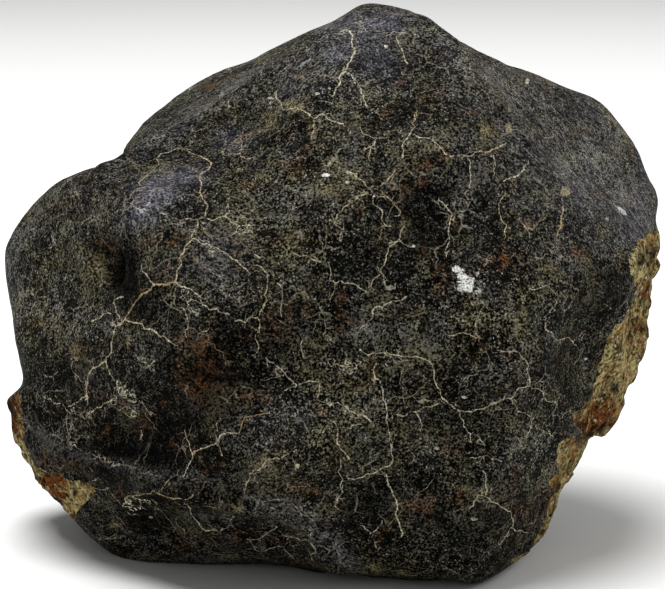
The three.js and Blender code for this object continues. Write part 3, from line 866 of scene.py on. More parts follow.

# %% [markdown]
# ## Stains, painted sheen and flecks
# Weather and handling colour the crust in patches: rust where iron grains sat, tan scabs and a few
# white flecks. Where the melt stayed smooth, a grey-lavender painted sheen stands for the overhead
# light's reflection. Lighter, dusty patches and darker patches are partly real crust and partly
# painted light on lit, upward places and painted shade in hollows, under the lip and at the foot.
# A painted highlight runs along the lip's ridge, and a few flecks at the shoulder are painted glints.

# %% Patches seen from the front
# kind: middle in picture pixels, half length, half width, turn in degrees, strength
PATCHES = {
    # painted sheen: a grey-lavender painted reflection of the overhead light on smooth crust
    "painted_sheen": [
        (155, 194, 25, 15, 20, 1.5), (137, 216, 16, 11, 20, 1.2), (232, 140, 20, 14, 0, 0.4),
        (190, 176, 22, 10, 0, 0.8), (375, 24, 46, 13, 0, 0.9), (338, 52, 20, 16, 40, 0.6),
        (376, 56, 28, 30, 0, 0.55), (298, 84, 24, 10, 30, 0.5), (590, 190, 45, 36, -35, 0.35),
        (636, 208, 22, 28, 0, 0.6), (594, 112, 20, 14, -35, 0.3), (215, 262, 34, 24, -20, 0.15),
        (450, 50, 18, 10, -40, 0.4), (495, 75, 25, 10, -35, 0.3), (12, 275, 8, 40, 0, 0.5),
        (292, 418, 36, 17, 8, 0.30), (330, 55, 14, 10, 0, 0.4),
    ],
    "flow": [
        (560, 150, 85, 55, -40, 1.0), (490, 90, 40, 25, -40, 0.7), (640, 215, 35, 28, -60, 0.9),
        (215, 262, 36, 24, -35, 0.7), (205, 108, 85, 11, 34, 1.2), (295, 68, 45, 9, 34, 1.2),
        (60, 205, 45, 16, 40, 0.4), (205, 563, 80, 6, 0, 0.4),
    ],
    # a painted highlight along the lip's ridge, streaked along it
    "lip_painted_light": [
        (52, 440, 30, 5, -27, 0.8), (108, 462, 36, 3, -16, 1.0), (168, 477, 34, 3.5, -6, 1.0),
        (262, 499, 30, 4, -14, 0.9), (300, 512, 18, 6, -36, 1.2), (332, 545, 26, 9, -52, 1.5),
        (40, 425, 20, 4, -50, 0.8), (352, 566, 18, 7, -40, 1.2), (215, 516, 26, 4, -4, 0.6),
        (212, 482, 26, 3.5, -8, 0.7),
    ],
    # lighter crust, partly dusty and partly painted light on lit, upward places such as the low mound
    "lighter_crust_and_painted_light": [
        (60, 235, 48, 60, 20, 0.15), (45, 310, 36, 45, 0, 0.35), (280, 215, 50, 40, 20, 0.45),
        (310, 420, 50, 26, 8, 0.95), (535, 450, 26, 32, 30, 1.2), (412, 448, 24, 10, 0, 0.7),
        (495, 318, 40, 30, -20, 0.7), (347, 366, 15, 12, 0, 0.8), (590, 150, 42, 42, -30, 0.5),
        (205, 108, 62, 16, 33, 0.4), (290, 60, 50, 12, 30, 0.5), (240, 285, 30, 20, 0, 0.6),
        (160, 205, 40, 30, 0, 0.5), (220, 560, 80, 8, 0, 0.7), (355, 75, 30, 40, 0, 0.5),
        (475, 70, 60, 20, -35, 0.6), (520, 110, 50, 30, -35, 0.3), (600, 215, 40, 30, 0, 0.3),
    ],
    # darker crust, partly real and partly painted shade in hollows, the pit, under the lip and at the
    # foot
    "darker_crust_and_painted_shade": [
        (140, 440, 60, 34, -12, 0.95), (205, 390, 50, 40, 0, 0.80), (150, 500, 60, 26, -8, 0.70),
        (235, 475, 36, 40, 0, 0.40), (425, 232, 46, 42, 20, 0.75), (350, 275, 45, 50, 0, 0.45),
        (368, 500, 42, 45, 0, 0.75), (455, 415, 34, 30, 0, 0.45), (475, 535, 50, 32, -20, 0.72),
        (130, 285, 26, 30, 0, 0.80), (285, 330, 30, 28, 0, 0.60), (551, 365, 22, 26, 0, 0.60),
        (590, 300, 24, 50, -20, 0.50), (513, 505, 26, 28, 0, 0.35), (395, 200, 36, 40, 0, 0.35),
        (60, 372, 34, 18, 0, 0.45), (225, 350, 34, 26, 0, 0.50), (90, 470, 40, 12, -16, 0.60),
        (124, 270, 12, 25, -15, 0.85), (115, 452, 60, 7, -8, 0.50), (150, 522, 40, 14, 0, 0.50),
        (155, 308, 36, 26, 0, 0.45), (60, 392, 40, 34, 0, 0.46), (215, 540, 50, 16, 0, 0.40),
        (510, 430, 50, 30, 0, 0.38), (235, 250, 40, 34, 0, 0.36), (130, 520, 60, 26, 0, 0.30),
        (275, 530, 40, 20, 0, 0.35), (380, 530, 40, 40, 0, 0.20), (385, 60, 34, 26, 0, 0.30),
    ],
    "rust": [
        (163, 240, 18, 6, 0, 1.0), (103, 250, 12, 9, -30, 0.9), (205, 372, 26, 34, 0, 0.5),
        (190, 344, 14, 8, 0, 0.8), (196, 388, 10, 7, 0, 0.9), (430, 163, 16, 5, 10, 1.0),
        (441, 154, 8, 6, 0, 0.7), (505, 262, 24, 8, 5, 0.8), (576, 252, 14, 7, -25, 0.8),
        (290, 165, 12, 8, 0, 0.7), (306, 150, 6, 5, 0, 0.9), (275, 330, 16, 10, 0, 0.6),
        (441, 275, 9, 22, 0, 0.6), (420, 505, 12, 10, 0, 0.8), (450, 446, 12, 9, 0, 0.7),
        (522, 510, 16, 10, 0, 0.6), (106, 432, 7, 6, 0, 0.8), (240, 536, 14, 5, 0, 0.7),
        (310, 565, 14, 4, 0, 0.9), (546, 492, 8, 8, 0, 0.7), (60, 462, 26, 6, -12, 0.7),
        (208, 88, 8, 4, 25, 1.0), (460, 498, 10, 8, 0, 0.7), (616, 119, 6, 4, 0, 0.7),
        (585, 132, 12, 4, 0, 0.7), (425, 100, 12, 6, 20, 0.5), (35, 322, 12, 5, 0, 0.5),
        (85, 350, 16, 5, 0, 0.5), (250, 395, 16, 7, 0, 0.6), (300, 490, 18, 8, 0, 0.6),
        (240, 300, 9, 6, 0, 0.3), (180, 545, 8, 10, 0, 0.5), (325, 412, 9, 7, -40, 0.7),
        (300, 310, 14, 10, 0, 0.5), (65, 205, 10, 5, 0, 0.5), (90, 203, 10, 4, 0, 0.5),
    ],
    "tan": [
        (94, 270, 13, 18, -20, 0.8), (292, 106, 14, 6, -25, 1.0), (488, 132, 8, 11, 10, 1.2),
        (295, 236, 10, 9, 0, 0.8), (313, 129, 4, 8, 0, 0.8), (516, 321, 7, 5, 0, 0.9),
        (272, 124, 8, 5, 0, 0.7), (345, 366, 9, 7, 0, 0.7), (130, 415, 8, 4, 0, 0.7),
        (268, 458, 14, 5, 20, 0.8), (115, 526, 6, 4, 0, 0.8), (375, 568, 9, 4, 0, 1.6),
        (402, 573, 7, 3, 0, 1.3), (404, 226, 5, 10, 0, 0.5), (236, 505, 8, 5, 0, 0.7),
        (40, 322, 12, 6, 0, 0.5), (600, 232, 6, 5, 0, 0.6),
    ],
    "inside_rust": [
        (594, 419, 24, 15, 35, 2.4), (644, 291, 9, 9, -20, 2.0), (635, 328, 8, 8, 30, 1.3),
        (625, 341, 6, 4, 0, 0.8), (566, 456, 16, 6, 60, 0.45), (547, 505, 14, 5, 70, 0.35),
        (13, 414, 6, 22, 0, 2.6), (17, 440, 4, 9, 0, 0.9), (53, 489, 9, 15, 32, 3.4),
        (64, 476, 12, 3, -20, 0.9), (90, 489, 6, 4, -15, 0.8), (520, 556, 10, 5, 40, 0.4),
        (655, 262, 4, 10, 0, 0.4), (612, 372, 5, 12, -20, 0.5), (650, 240, 8, 6, 0, 0.5),
    ],
    # painted shade in the pits, the notch and the shadowed strips of the breaks
    "inside_painted_shade": [
        (646, 251, 3, 4, 0, 1.4), (636, 264, 2, 3, 0, 1.3), (645, 265, 2.4, 3.4, 0, 1.3),
        (640, 300, 5, 2.4, 10, 1.0), (643, 306, 2.4, 3, 0, 1.1), (634, 319, 2.4, 2.4, 0, 1.0),
        (642, 355, 4, 7, 0, 1.0), (612, 388, 4, 5, 0, 1.2), (586, 434, 14, 4, 20, 1.2),
        (603, 424, 3, 10, -20, 0.9), (578, 424, 5, 4, 0, 0.9), (627, 352, 3, 5, 0, 0.6),
        (76, 489, 1.6, 1.6, 0, 1.5), (77, 494, 1.4, 1.4, 0, 1.5), (83, 497, 1.4, 1.2, 0, 1.4),
        (11, 416, 4, 26, 4, 1.2), (22, 452, 3, 14, 28, 0.9), (60, 474, 16, 2, -17, 0.9),
        (44, 498, 3, 12, 42, 0.9), (76, 521, 6, 6, 0, 0.9), (556, 470, 3, 8, -20, 0.4),
        (533, 545, 4, 6, -20, 0.5), (595, 443, 8, 3, 20, 1.3), (650, 256, 2, 5, -10, 1.2),
        (640, 258, 3, 6, 10, 1.3), (648, 270, 2, 3, 0, 1.0),
    ],
}
print({kind: len(spots) for kind, spots in PATCHES.items()})

# %% Flecks seen from the front
# middle in picture pixels, half length, half width, turn in degrees, brightness, warmth
FLECKS = [
    (457, 269, 4.5, 3.5, 0, 1.0, 0.1), (463, 277, 5.5, 4.5, -40, 1.0, 0.0),
    (468, 287, 5.5, 6.0, 0, 1.0, 0.0), (461, 288, 3.5, 4.0, 0, 0.8, 0.1),
    (472, 280, 2.6, 3.4, 0, 0.9, 0.0), (478, 273, 1.4, 2.0, 0, 0.6, 0.3),
    (480, 292, 1.6, 3.0, 0, 0.5, 0.2), (527, 82, 2.2, 3.4, -15, 0.50, 0.5),
    (565, 192, 4.8, 4.6, 0, 0.42, 1.0), (509, 128, 3.4, 6.0, 10, 0.40, 0.9),
    (326, 175, 4.2, 1.8, 0, 1.0, 0.0), (622, 211, 6.0, 2.0, -42, 0.55, 0.0),
    (386, 46, 2.0, 1.5, 0, 0.8, 0.2), (271, 99, 3.0, 1.6, 0, 0.6, 0.2),
    (297, 466, 2.8, 2.4, 0, 0.7, 0.8), (414, 246, 2.0, 1.5, 0, 0.7, 0.2),
    (330, 405, 1.8, 1.4, 0, 0.6, 0.3), (464, 397, 3.0, 1.4, -20, 0.6, 0.3),
    (305, 62, 9.0, 1.2, 30, 0.3, 0.0), (390, 288, 4.0, 2.6, 0, 0.4, 0.5),
    (586, 359, 2.0, 1.4, 0, 0.6, 0.1), (437, 448, 2.4, 1.8, 0, 0.6, 0.2),
    (474, 519, 4.0, 1.6, 0, 0.35, 0.1), (151, 517, 2.4, 1.2, 0, 0.35, 0.3),
    (300, 234, 3.0, 3.4, 0, 0.30, 0.6), (607, 219, 2.6, 1.4, 0, 0.45, 0.1),
    (317, 93, 2.2, 1.2, 0, 0.7, 0.1), (347, 182, 2.4, 1.4, 0, 0.7, 0.1),
    (197, 314, 2.4, 1.8, 0, 0.5, 0.2), (122, 394, 3.0, 2.2, 0, 0.4, 0.5),
    # the next four, at the shoulder, are painted glints of the overhead light
    (148, 204, 3.0, 1.6, 50, 0.45, 0.0), (141, 211, 3.4, 2.0, -40, 0.50, 0.0),
    (134, 223, 3.0, 3.0, 0, 0.25, 0.0), (160, 190, 2.4, 1.6, 0, 0.30, 0.0),
    (112, 325, 3.0, 2.0, 0, 0.5, 0.4), (270, 108, 2.0, 1.4, 0, 0.5, 0.6),
    (348, 172, 1.6, 1.2, 0, 0.5, 0.0), (329, 87, 1.6, 1.2, 0, 0.5, 0.0),
    (516, 321, 3.0, 2.2, 0, 0.35, 0.8), (301, 106, 4.0, 2.0, -20, 0.30, 1.0),
]
print(len(FLECKS), "flecks are placed on the front")

# %% Lay the patches on the points
# the angle behind the outline where the front's marks start to fade and have gone
FRONT_FADE = (-0.02, 0.12)


def picture_oval(across, down, length, width, turn):
    """Each grid point's place in an oval of the picture, in parts of its half length and width."""
    c, s = math.cos(math.radians(turn)), math.sin(math.radians(turn))
    x, y = picture[:, 0] - across, down - picture[:, 1]
    return (x * c + y * s) / length, (y * c - x * s) / width


picture = to_picture(smooth_points)
front = 1 - ease(rim_latitude(seen), *FRONT_FADE)
patches = {}
along = np.zeros((len(seen), 3))
strongest = np.full(len(seen), 1e-3)
for kind, spots in PATCHES.items():
    total = np.zeros(len(seen))
    for *oval, strength in spots:
        u, v = picture_oval(*oval)
        spot = strength * np.exp(-(u * u + v * v))
        total += spot
        if kind in ("flow", "lip_painted_light"):
            turn = math.radians(oval[4])
            stronger = spot > strongest
            along[stronger] = from_view(np.array([math.cos(turn), 0, math.sin(turn)]))
            strongest = np.maximum(strongest, spot)
    patches[kind] = total * front
print({kind: float(total.max().round(2)) for kind, total in patches.items()})

# %% The place of each point in its nearest fleck
FLECK_REACH = 9.0

fleck = np.full((len(seen), 3), FLECK_REACH)
fleck_gap = np.full(len(seen), FLECK_REACH)
fleck_bright, fleck_warm = np.zeros((2, len(seen)))
for *oval, brightness, warmth in FLECKS:
    u, v = picture_oval(*oval)
    gap = np.hypot(u, v) + FLECK_REACH * (1 - front)
    closer = gap < fleck_gap
    fleck[closer] = np.stack([u, v, np.zeros_like(u)], 1)[closer]
    fleck_gap[closer] = gap[closer]
    fleck_bright[closer] = brightness
    fleck_warm[closer] = warmth
print((fleck_gap < 1).sum(), "points lie on a fleck")

# %% Patches on the unseen sides, and the crust's shade with painted light and shade
# size in mm, where the patch starts and is full, strength
HIDDEN_PATCHES = {
    # the unseen sides get the painted sheen too, in random patches
    "painted_sheen": (17.0, 0.30, 0.80, 0.45), "flow": (21.0, 0.25, 0.70, 0.8),
    "rust": (8.0, 0.45, 0.80, 1.0), "tan": (6.5, 0.55, 0.85, 0.9),
}
for seed, (kind, (size, start, full, strength)) in enumerate(HIDDEN_PATCHES.items()):
    here = layers(smooth_points, [(size, 1.0, 61 + seed), (size / 2.3, 0.5, 71 + seed)])
    patches[kind] += (1 - front) * strength * ease(here, start, full)
behind = front < 0.5
along[behind] = unit(np.cross(rays[behind], [0.2, 0.1, 1.0]))

# size in mm, height, seed
SLOW_SHADE = [(26.0, 0.25, 41), (11.0, 0.20, 42)]
DARKEST, LIGHTEST = 0.12, 2.2
shade = 1 + layers(smooth_points, SLOW_SHADE) * (1.4 - front)
# the lighter and darker patches put painted light and painted shade into the crust's shade layer
shade += 0.8 * patches.pop("lighter_crust_and_painted_light") - 0.8 * patches.pop("darker_crust_and_painted_shade")
shade = np.clip(shade, DARKEST, LIGHTEST)
print("the crust's shade reaches from", shade.min().round(2), "to", shade.max().round(2))

# %% [markdown]
# ## The fine surface
# Now the grain goes on. The crust takes low knobs, and is calmer under the painted sheen, where the
# melt stayed smooth. The breaks are much rougher: the stone split round its own grains, which
# leaves ledges, ridges and plucked holes.

# %% Carve the grain
# size and height in mm, seed
KNOBS = [(7.5, 0.22, 11), (3.6, 0.13, 12), (1.9, 0.08, 13), (1.15, 0.06, 14)]
LEDGES = [(8.0, 0.75, 21), (4.0, 0.50, 22), (2.0, 0.30, 23)]
RIDGES = [(4.4, 0.45, 24), (2.3, 0.35, 25), (1.25, 0.20, 26)]
LEDGE_EDGE = 0.12
RIDGE_FOOT = 0.3
HOLE_SIZE = 2.6
HOLE_DEPTH = 0.9
BREAK_LIFT = 0.25

knobs = layers(smooth_points, KNOBS)
calm = 1 - 0.6 * np.clip(patches["painted_sheen"], 0, 1)
ledges = sum(
    height * (ease(noise(smooth_points, size, seed), -LEDGE_EDGE, LEDGE_EDGE) - 0.5)
    for size, height, seed in LEDGES
)
ridges = sum(
    height * (RIDGE_FOOT - np.abs(noise(smooth_points, size, seed)))
    for size, height, seed in RIDGES
)
holes = ease(noise(smooth_points, HOLE_SIZE, 31), 0.40, 0.70) * HOLE_DEPTH
crust_surface = crusted + knobs * calm
break_surface = broken + ledges + ridges - holes + BREAK_LIFT
cut = crust_surface - break_surface
radius = np.minimum(crust_surface, break_surface)
radius = np.minimum(radius, rest_cut(rays))
points = rays * radius[:, None] + SHIFT


def press_inside(points, low, high, softness=0.15):
    """Eases what reaches the sides of a box to just inside them. The foot stays flat."""
    over = np.logaddexp(0, (points - high) / softness) * softness
    under = np.logaddexp(0, (low - points) / softness) * softness
    under[:, 2] = 0
    return points - over + under


low, high = (np.array(corner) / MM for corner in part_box("meteorite"))
points = press_inside(points, low, high)
print("the break covers", round(float((cut > 0).mean()), 3), "of the points")

# %% [markdown]
# The crust's broken edge was traced on the front. The tan inside shows only beyond that line
# and where a break really cuts the stone. Round the back a ragged form of the cut decides, and
# only close to the same line.

# %% Where the inside shows
# the crust's edge in picture pixels, from the top down: down, across
RIGHT_EDGE = np.array([
    (226, 662), (235, 645), (245, 632), (260, 628), (273, 629), (285, 632), (297, 632),
    (307, 625), (320, 618), (337, 608), (350, 603), (373, 600), (387, 595), (403, 585),
    (413, 572), (420, 571), (428, 578), (435, 580), (438, 567), (442, 560), (458, 557),
    (467, 557), (480, 550), (493, 550), (505, 547), (520, 540), (533, 533), (547, 528),
    (555, 515), (562, 510), (567, 500), (573, 492),
])
LEFT_EDGE = np.array([
    (384, 20), (388, 23), (400, 21), (410, 20), (420, 21), (430, 23), (440, 27), (455, 33),
    (466, 40), (472, 52), (476, 62), (481, 74), (486, 86), (490, 96), (497, 90), (505, 83),
    (515, 78), (526, 74), (530, 60),
])
# beyond an edge's ends no inside shows: this many pixels away
OFF_EDGE = 999
# size and height in mm, seed
EDGE_WANDER = [(11.0, 2.0, 51), (3.5, 0.9, 52)]
CUT_SLACK = 0.8
BEHIND_SLACK = 12

across, down = picture.T
right_gap = across - np.interp(down, *RIGHT_EDGE.T, left=OFF_EDGE, right=OFF_EDGE)
left_gap = np.interp(down, *LEFT_EDGE.T, left=-OFF_EDGE, right=-OFF_EDGE) - across
edge_gap = np.maximum(right_gap, left_gap) * PIXEL
front_gap = np.minimum(cut + CUT_SLACK, edge_gap)
ragged_cut = cut + layers(smooth_points, EDGE_WANDER)
behind_gap = np.minimum(ragged_cut, 3 * edge_gap + BEHIND_SLACK)
inside_gap = np.where(behind, behind_gap, front_gap)
print("the inside shows on", round(float((inside_gap > 0).mean()), 3), "of the points")

# %% The mesh and what each point knows
# the furthest from a break's edge that the mesh keeps, in mm
CUT_REACH = 5

mesh = bpy.data.meshes.new("stone")
mesh.from_pydata((points * MM).tolist(), [], quads.tolist())
mesh.shade_smooth()
stone = bpy.data.objects.new("stone", mesh)
bpy.context.scene.collection.objects.link(stone)


def keep(name, values):
    """Stores one number or one arrow for each point of the mesh."""
    kind = "FLOAT_VECTOR" if values.ndim == 2 else "FLOAT"
    layer = mesh.attributes.new(name, kind, "POINT")
    layer.data.foreach_set("vector" if values.ndim == 2 else "value",
                           values.astype(np.float32).ravel())


known = {
    "crack_arrow": arrows, "crack_gap": crack_gap, "crack_width": crack_width,
    "crack_rust": crack_rust, "fleck": fleck, "shade": shade, "flow_along": along,
    "fleck_gap": fleck_gap, "fleck_bright": fleck_bright, "fleck_warm": fleck_warm,
    "cut": np.clip(inside_gap, -CUT_REACH, CUT_REACH),
}
for name, values in {**known, **patches}.items():
    keep(name, values)
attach(stone, "root")
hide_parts("meteorite")
print("the stone has", len(mesh.attributes), "layers")

# %% [markdown]
# ## The material
# One material covers the stone, because a natural stone's finishes run into each other. We
# build it from small steps: the crust's colour, then painted light and shade, painted sheen and
# stains, then cracks, then the broken inside. A little helper makes nodes by plain calls, so that
# each step reads like a sum.


# %% A helper for node materials
class Recipe:
    """A material's nodes, made by plain calls. Each call returns the new node's output."""

    def __init__(self, name):
        self.material = bpy.data.materials.new(name)
        self.material.use_nodes = True
        self.tree = self.material.node_tree
        self.surface = self.tree.nodes["Principled BSDF"]

    def put(self, socket, value):
        if isinstance(value, bpy.types.NodeSocket):
            self.tree.links.new(value, socket)
        elif isinstance(value, (tuple, list)) and socket.type == "RGBA":
            socket.default_value = (*value, 1.0)
        else:
            socket.default_value = value

    def node(self, kind, values=(), **settings):
        made = self.tree.nodes.new(kind)
        for name, value in settings.items():
            setattr(made, name, value)
        for name, value in dict(values).items():
            self.put(made.inputs[name], value)
        return made

    def maths(self, operation, a, b=0.0, c=0.0, clamp=False):
        made = self.node("ShaderNodeMath", {0: a, 1: b, 2: c}, operation=operation)
        made.use_clamp = clamp
        return made.outputs[0]

    def plus(self, a, b):
        return self.maths("ADD", a, b)

    def times(self, a, b, clamp=False):
        return self.maths("MULTIPLY", a, b, clamp=clamp)

    def times_plus(self, a, factor, more):
        """The first value times a factor, plus some more."""
        return self.maths("MULTIPLY_ADD", a, factor, more)

    def step(self, value, low, high, start=0.0, end=1.0):
        """From start to end, smoothly, while the value goes from low to high."""
        made = self.node(
            "ShaderNodeMapRange", {0: value, 1: low, 2: high, 3: start, 4: end},
            interpolation_type="SMOOTHSTEP",
        )
        return made.outputs[0]

    def mix(self, share, a, b, blend="MIX"):
        made = self.node("ShaderNodeMix", data_type="RGBA", blend_type=blend)
        self.put(made.inputs[0], share)
        self.put(made.inputs[6], a)
        self.put(made.inputs[7], b)
        return made.outputs[2]

    def shade(self, value, low, high, dark, light):
        """A colour that runs from dark to light while the value goes from low to high."""
        return self.mix(self.step(value, low, high), dark, light)

    def between(self, share, a, b):
        made = self.node("ShaderNodeMix", {0: share, 2: a, 3: b}, data_type="FLOAT")
        return made.outputs[0]

    def noise(self, place, size, detail=2.0, roughness=0.5):
        values = {"Vector": place, "Scale": 1 / size, "Detail": detail, "Roughness": roughness}
        return self.node("ShaderNodeTexNoise", values).outputs[0]

    def arrow_noise(self, place, size, detail=1.0):
        values = {"Vector": place, "Scale": 1 / size, "Detail": detail}
        return self.node("ShaderNodeTexNoise", values).outputs[1]

    def cells(self, place, size, feature="F1"):
        values = {"Vector": place, "Scale": 1 / size}
        return self.node("ShaderNodeTexVoronoi", values, feature=feature).outputs["Distance"]

    def attribute(self, name, output="Fac"):
        return self.node("ShaderNodeAttribute", attribute_name=name).outputs[output]

    def grey(self, value):
        return self.node("ShaderNodeCombineColor", {k: value for k in range(3)}).outputs[0]

    def arrow(self, operation, a, b=None, scale=None):
        made = self.node("ShaderNodeVectorMath", operation=operation)
        self.put(made.inputs[0], a)
        if b is not None:
            self.put(made.inputs[1], b)
        if scale is not None:
            self.put(made.inputs["Scale"], scale)
        return made.outputs["Value" if operation in ("LENGTH", "DOT_PRODUCT") else "Vector"]


crust = Recipe("fusion_crust")
own_place = crust.node("ShaderNodeTexCoord").outputs["Object"]
place = crust.arrow("SCALE", own_place, scale=1 / MM)
print("the material measures places in millimetres")

# %% The crust's colour
# dark and light where a finish has both
CRUST = ((0.0003, 0.0003, 0.0002), (0.148, 0.144, 0.120))
COOL, OLIVE = (0.985, 0.985, 1.02), (1.08, 1.0, 0.68)
CALM = (0.0045, 0.0044, 0.0036)
# painted glints: pale specks that stand for the lamp's reflections on the grains
PAINTED_GLINT = (0.36, 0.355, 0.31)

fine = crust.noise(place, 0.44, detail=2.0, roughness=0.62)
blotch = crust.noise(place, 1.5, detail=2.0, roughness=0.6)
region = crust.noise(place, 9.0, detail=2.0)
tops = crust.times_plus(blotch, 0.34, crust.times_plus(region, 0.35, fine))
tone = crust.maths("POWER", crust.step(tops, 0.765, 1.055), 1.4)
colour = crust.mix(tone, *CRUST)
tint = crust.noise(place, 7.0, detail=4.0, roughness=0.68)
colour = crust.mix(1.0, colour, crust.shade(tint, 0.36, 0.62, COOL, OLIVE), "MULTIPLY")
calm_here = crust.step(crust.noise(place, 4.2, 2.0), 0.48, 0.68, 0.0, 0.55)
colour = crust.mix(calm_here, colour, CALM)
# painted glints on the tops of the blotches
painted_glint_noise = crust.noise(crust.arrow("ADD", place, (3.1, 7.7, 1.9)), 0.38, detail=1.0)
painted_glint = crust.times(crust.step(painted_glint_noise, 0.62, 0.73), crust.step(blotch, 0.40, 0.60))
colour = crust.mix(painted_glint, colour, PAINTED_GLINT)
print("the crust's colour takes", len(crust.tree.nodes), "nodes")

# %% Painted light and shade, painted sheen and stains on the crust
# the painted sheen's dark and light: a painted reflection of the overhead light
PAINTED_SHEEN = ((0.042, 0.042, 0.052), (0.30, 0.295, 0.37))
STREAK = ((0.008, 0.008, 0.009), (0.230, 0.222, 0.222))
# the colour of the painted highlight along the lip
LIP_PAINTED_GREY = ((0.006, 0.0055, 0.0055), (0.175, 0.165, 0.165))
RUST = ((0.008, 0.0035, 0.0012), (0.190, 0.070, 0.018))
TAN = ((0.012, 0.009, 0.003), (0.34, 0.29, 0.155))

# the shade layer holds random tone and the painted light and shade of the patches
colour = crust.mix(1.0, colour, crust.grey(crust.attribute("shade")), "MULTIPLY")
ragged = crust.times_plus(blotch, 1.6, -0.3)
# painted sheen: the overhead light's reflection painted on, with a lower roughness under it
painted_sheen = crust.times(crust.attribute("painted_sheen"), ragged, clamp=True)
painted_sheen_grey = crust.shade(fine, 0.36, 0.70, *PAINTED_SHEEN)
colour = crust.mix(crust.times(painted_sheen, 0.70), colour, painted_sheen_grey)
loose_rust = crust.times(crust.step(crust.noise(place, 5.0, 3.0), 0.56, 0.72), 0.5)
rust_here = crust.plus(crust.attribute("rust"), loose_rust)
rust_amount = crust.times(rust_here, crust.step(blotch, 0.38, 0.66), clamp=True)
flow_along = crust.attribute("flow_along", "Vector")
run = crust.times(crust.arrow("DOT_PRODUCT", place, flow_along), 0.88)
squeezed = crust.arrow("SUBTRACT", place, crust.arrow("SCALE", flow_along, scale=run))
streak = crust.noise(squeezed, 0.36, detail=2.0)
streak = crust.times_plus(streak, 0.60, crust.times(fine, 0.40))
flow = crust.times(crust.attribute("flow"), ragged, clamp=True)
streaked = crust.shade(streak, 0.44, 0.60, *STREAK)
colour = crust.mix(crust.times(flow, 0.65), colour, streaked)
# the lip's painted highlight
lip_painted_light = crust.times(crust.attribute("lip_painted_light"), crust.step(blotch, 0.30, 0.60))
lip_painted_grey = crust.shade(streak, 0.42, 0.62, *LIP_PAINTED_GREY)
colour = crust.mix(crust.times(lip_painted_light, 0.75, clamp=True), colour, lip_painted_grey)
rusty = crust.shade(fine, 0.35, 0.68, *RUST)
colour = crust.mix(crust.times(rust_amount, 0.80), colour, rusty)
tan_amount = crust.times(crust.attribute("tan"), crust.step(blotch, 0.30, 0.55))
tanned = crust.shade(fine, 0.36, 0.68, *TAN)
colour = crust.mix(crust.times(tan_amount, 0.85, clamp=True), colour, tanned)
print("with its stains it takes", len(crust.tree.nodes))

# %% [markdown]
# A crack's edge wobbles and its width swells and shrinks, so that the line looks split and not
# drawn. A fine net of cell edges and short twigs fills in between the lines.

# %% The line of each crack
crack_arrow = crust.attribute("crack_arrow", "Vector")
wobble = crust.arrow("SUBTRACT", crust.arrow_noise(place, 0.9, 3.0), (0.5, 0.5, 0.5))
sideways = crust.arrow("DOT_PRODUCT", crust.arrow("NORMALIZE", crack_arrow), wobble)
straight = crust.arrow("LENGTH", crack_arrow)
crack_distance = crust.maths("ABSOLUTE", crust.times_plus(sideways, 0.65, straight))
half_width = crust.attribute("crack_width")
swelling = crust.times_plus(crust.noise(place, 0.7), 1.7, -0.14)
width = crust.times(half_width, swelling)
inner, outer = crust.times(width, 0.40), crust.times_plus(width, 1.05, 0.02)
crack_line = crust.step(crack_distance, inner, outer, 1.0, 0.0)
gap = crust.attribute("crack_gap")
close = crust.step(gap, 0.9, 1.4, 1.0, 0.0)
strong = crust.step(half_width, 0.05, 0.15, 0.45, 1.0)
filled = crust.step(crust.noise(place, 1.5, 2.0), 0.36, 0.60, 0.45, 1.0)
crack_line = crust.times(crust.times(crack_line, close), crust.times(strong, filled))
print("with the crack lines it takes", len(crust.tree.nodes))

# %% The fine net, and the colour of the cracks
CRACK_PALE = ((0.23, 0.21, 0.150), (0.82, 0.76, 0.58))
CRACK_BROWN = ((0.15, 0.085, 0.030), (0.64, 0.45, 0.20))

warp = crust.arrow("SCALE", crust.arrow_noise(place, 2.5, 2.0), scale=2.6)
warped = crust.arrow("ADD", place, warp)
net = crust.cells(warped, 6.5, "DISTANCE_TO_EDGE")
net_line = crust.step(net, 0.006, 0.020, 1.0, 0.0)
net_here = crust.step(crust.noise(place, 6.0, 1.0), 0.50, 0.66)
net_line = crust.times(crust.times(net_line, net_here), 0.30)
twigs = crust.step(crust.cells(warped, 3.0, "DISTANCE_TO_EDGE"), 0.010, 0.034, 1.0, 0.0)
near_crack = crust.step(gap, 0.4, 1.5, 0.50, 0.0)
twig_here = crust.times(near_crack, crust.step(crust.noise(place, 2.2, 1.0), 0.50, 0.62))
net_line = crust.maths("MAXIMUM", net_line, crust.times(twigs, twig_here))
stray_rust = crust.step(crust.noise(place, 3.0), 0.46, 0.68, 0.0, 0.32)
crack_rusty = crust.plus(crust.attribute("crack_rust"), stray_rust)
crack_pale = crust.shade(fine, 0.3, 0.66, *CRACK_PALE)
crack_brown = crust.mix(fine, *CRACK_BROWN)
crack_colour = crust.mix(crust.times(crack_rusty, 0.8, clamp=True), crack_pale, crack_brown)
crack_share = crust.maths("MAXIMUM", crack_line, net_line)
colour = crust.mix(crack_share, colour, crack_colour)
print("with the net it takes", len(crust.tree.nodes))

# %% The white flecks, and the painted glints among them
WHITE, WARM_WHITE = (0.92, 0.92, 0.88), (0.80, 0.68, 0.42)

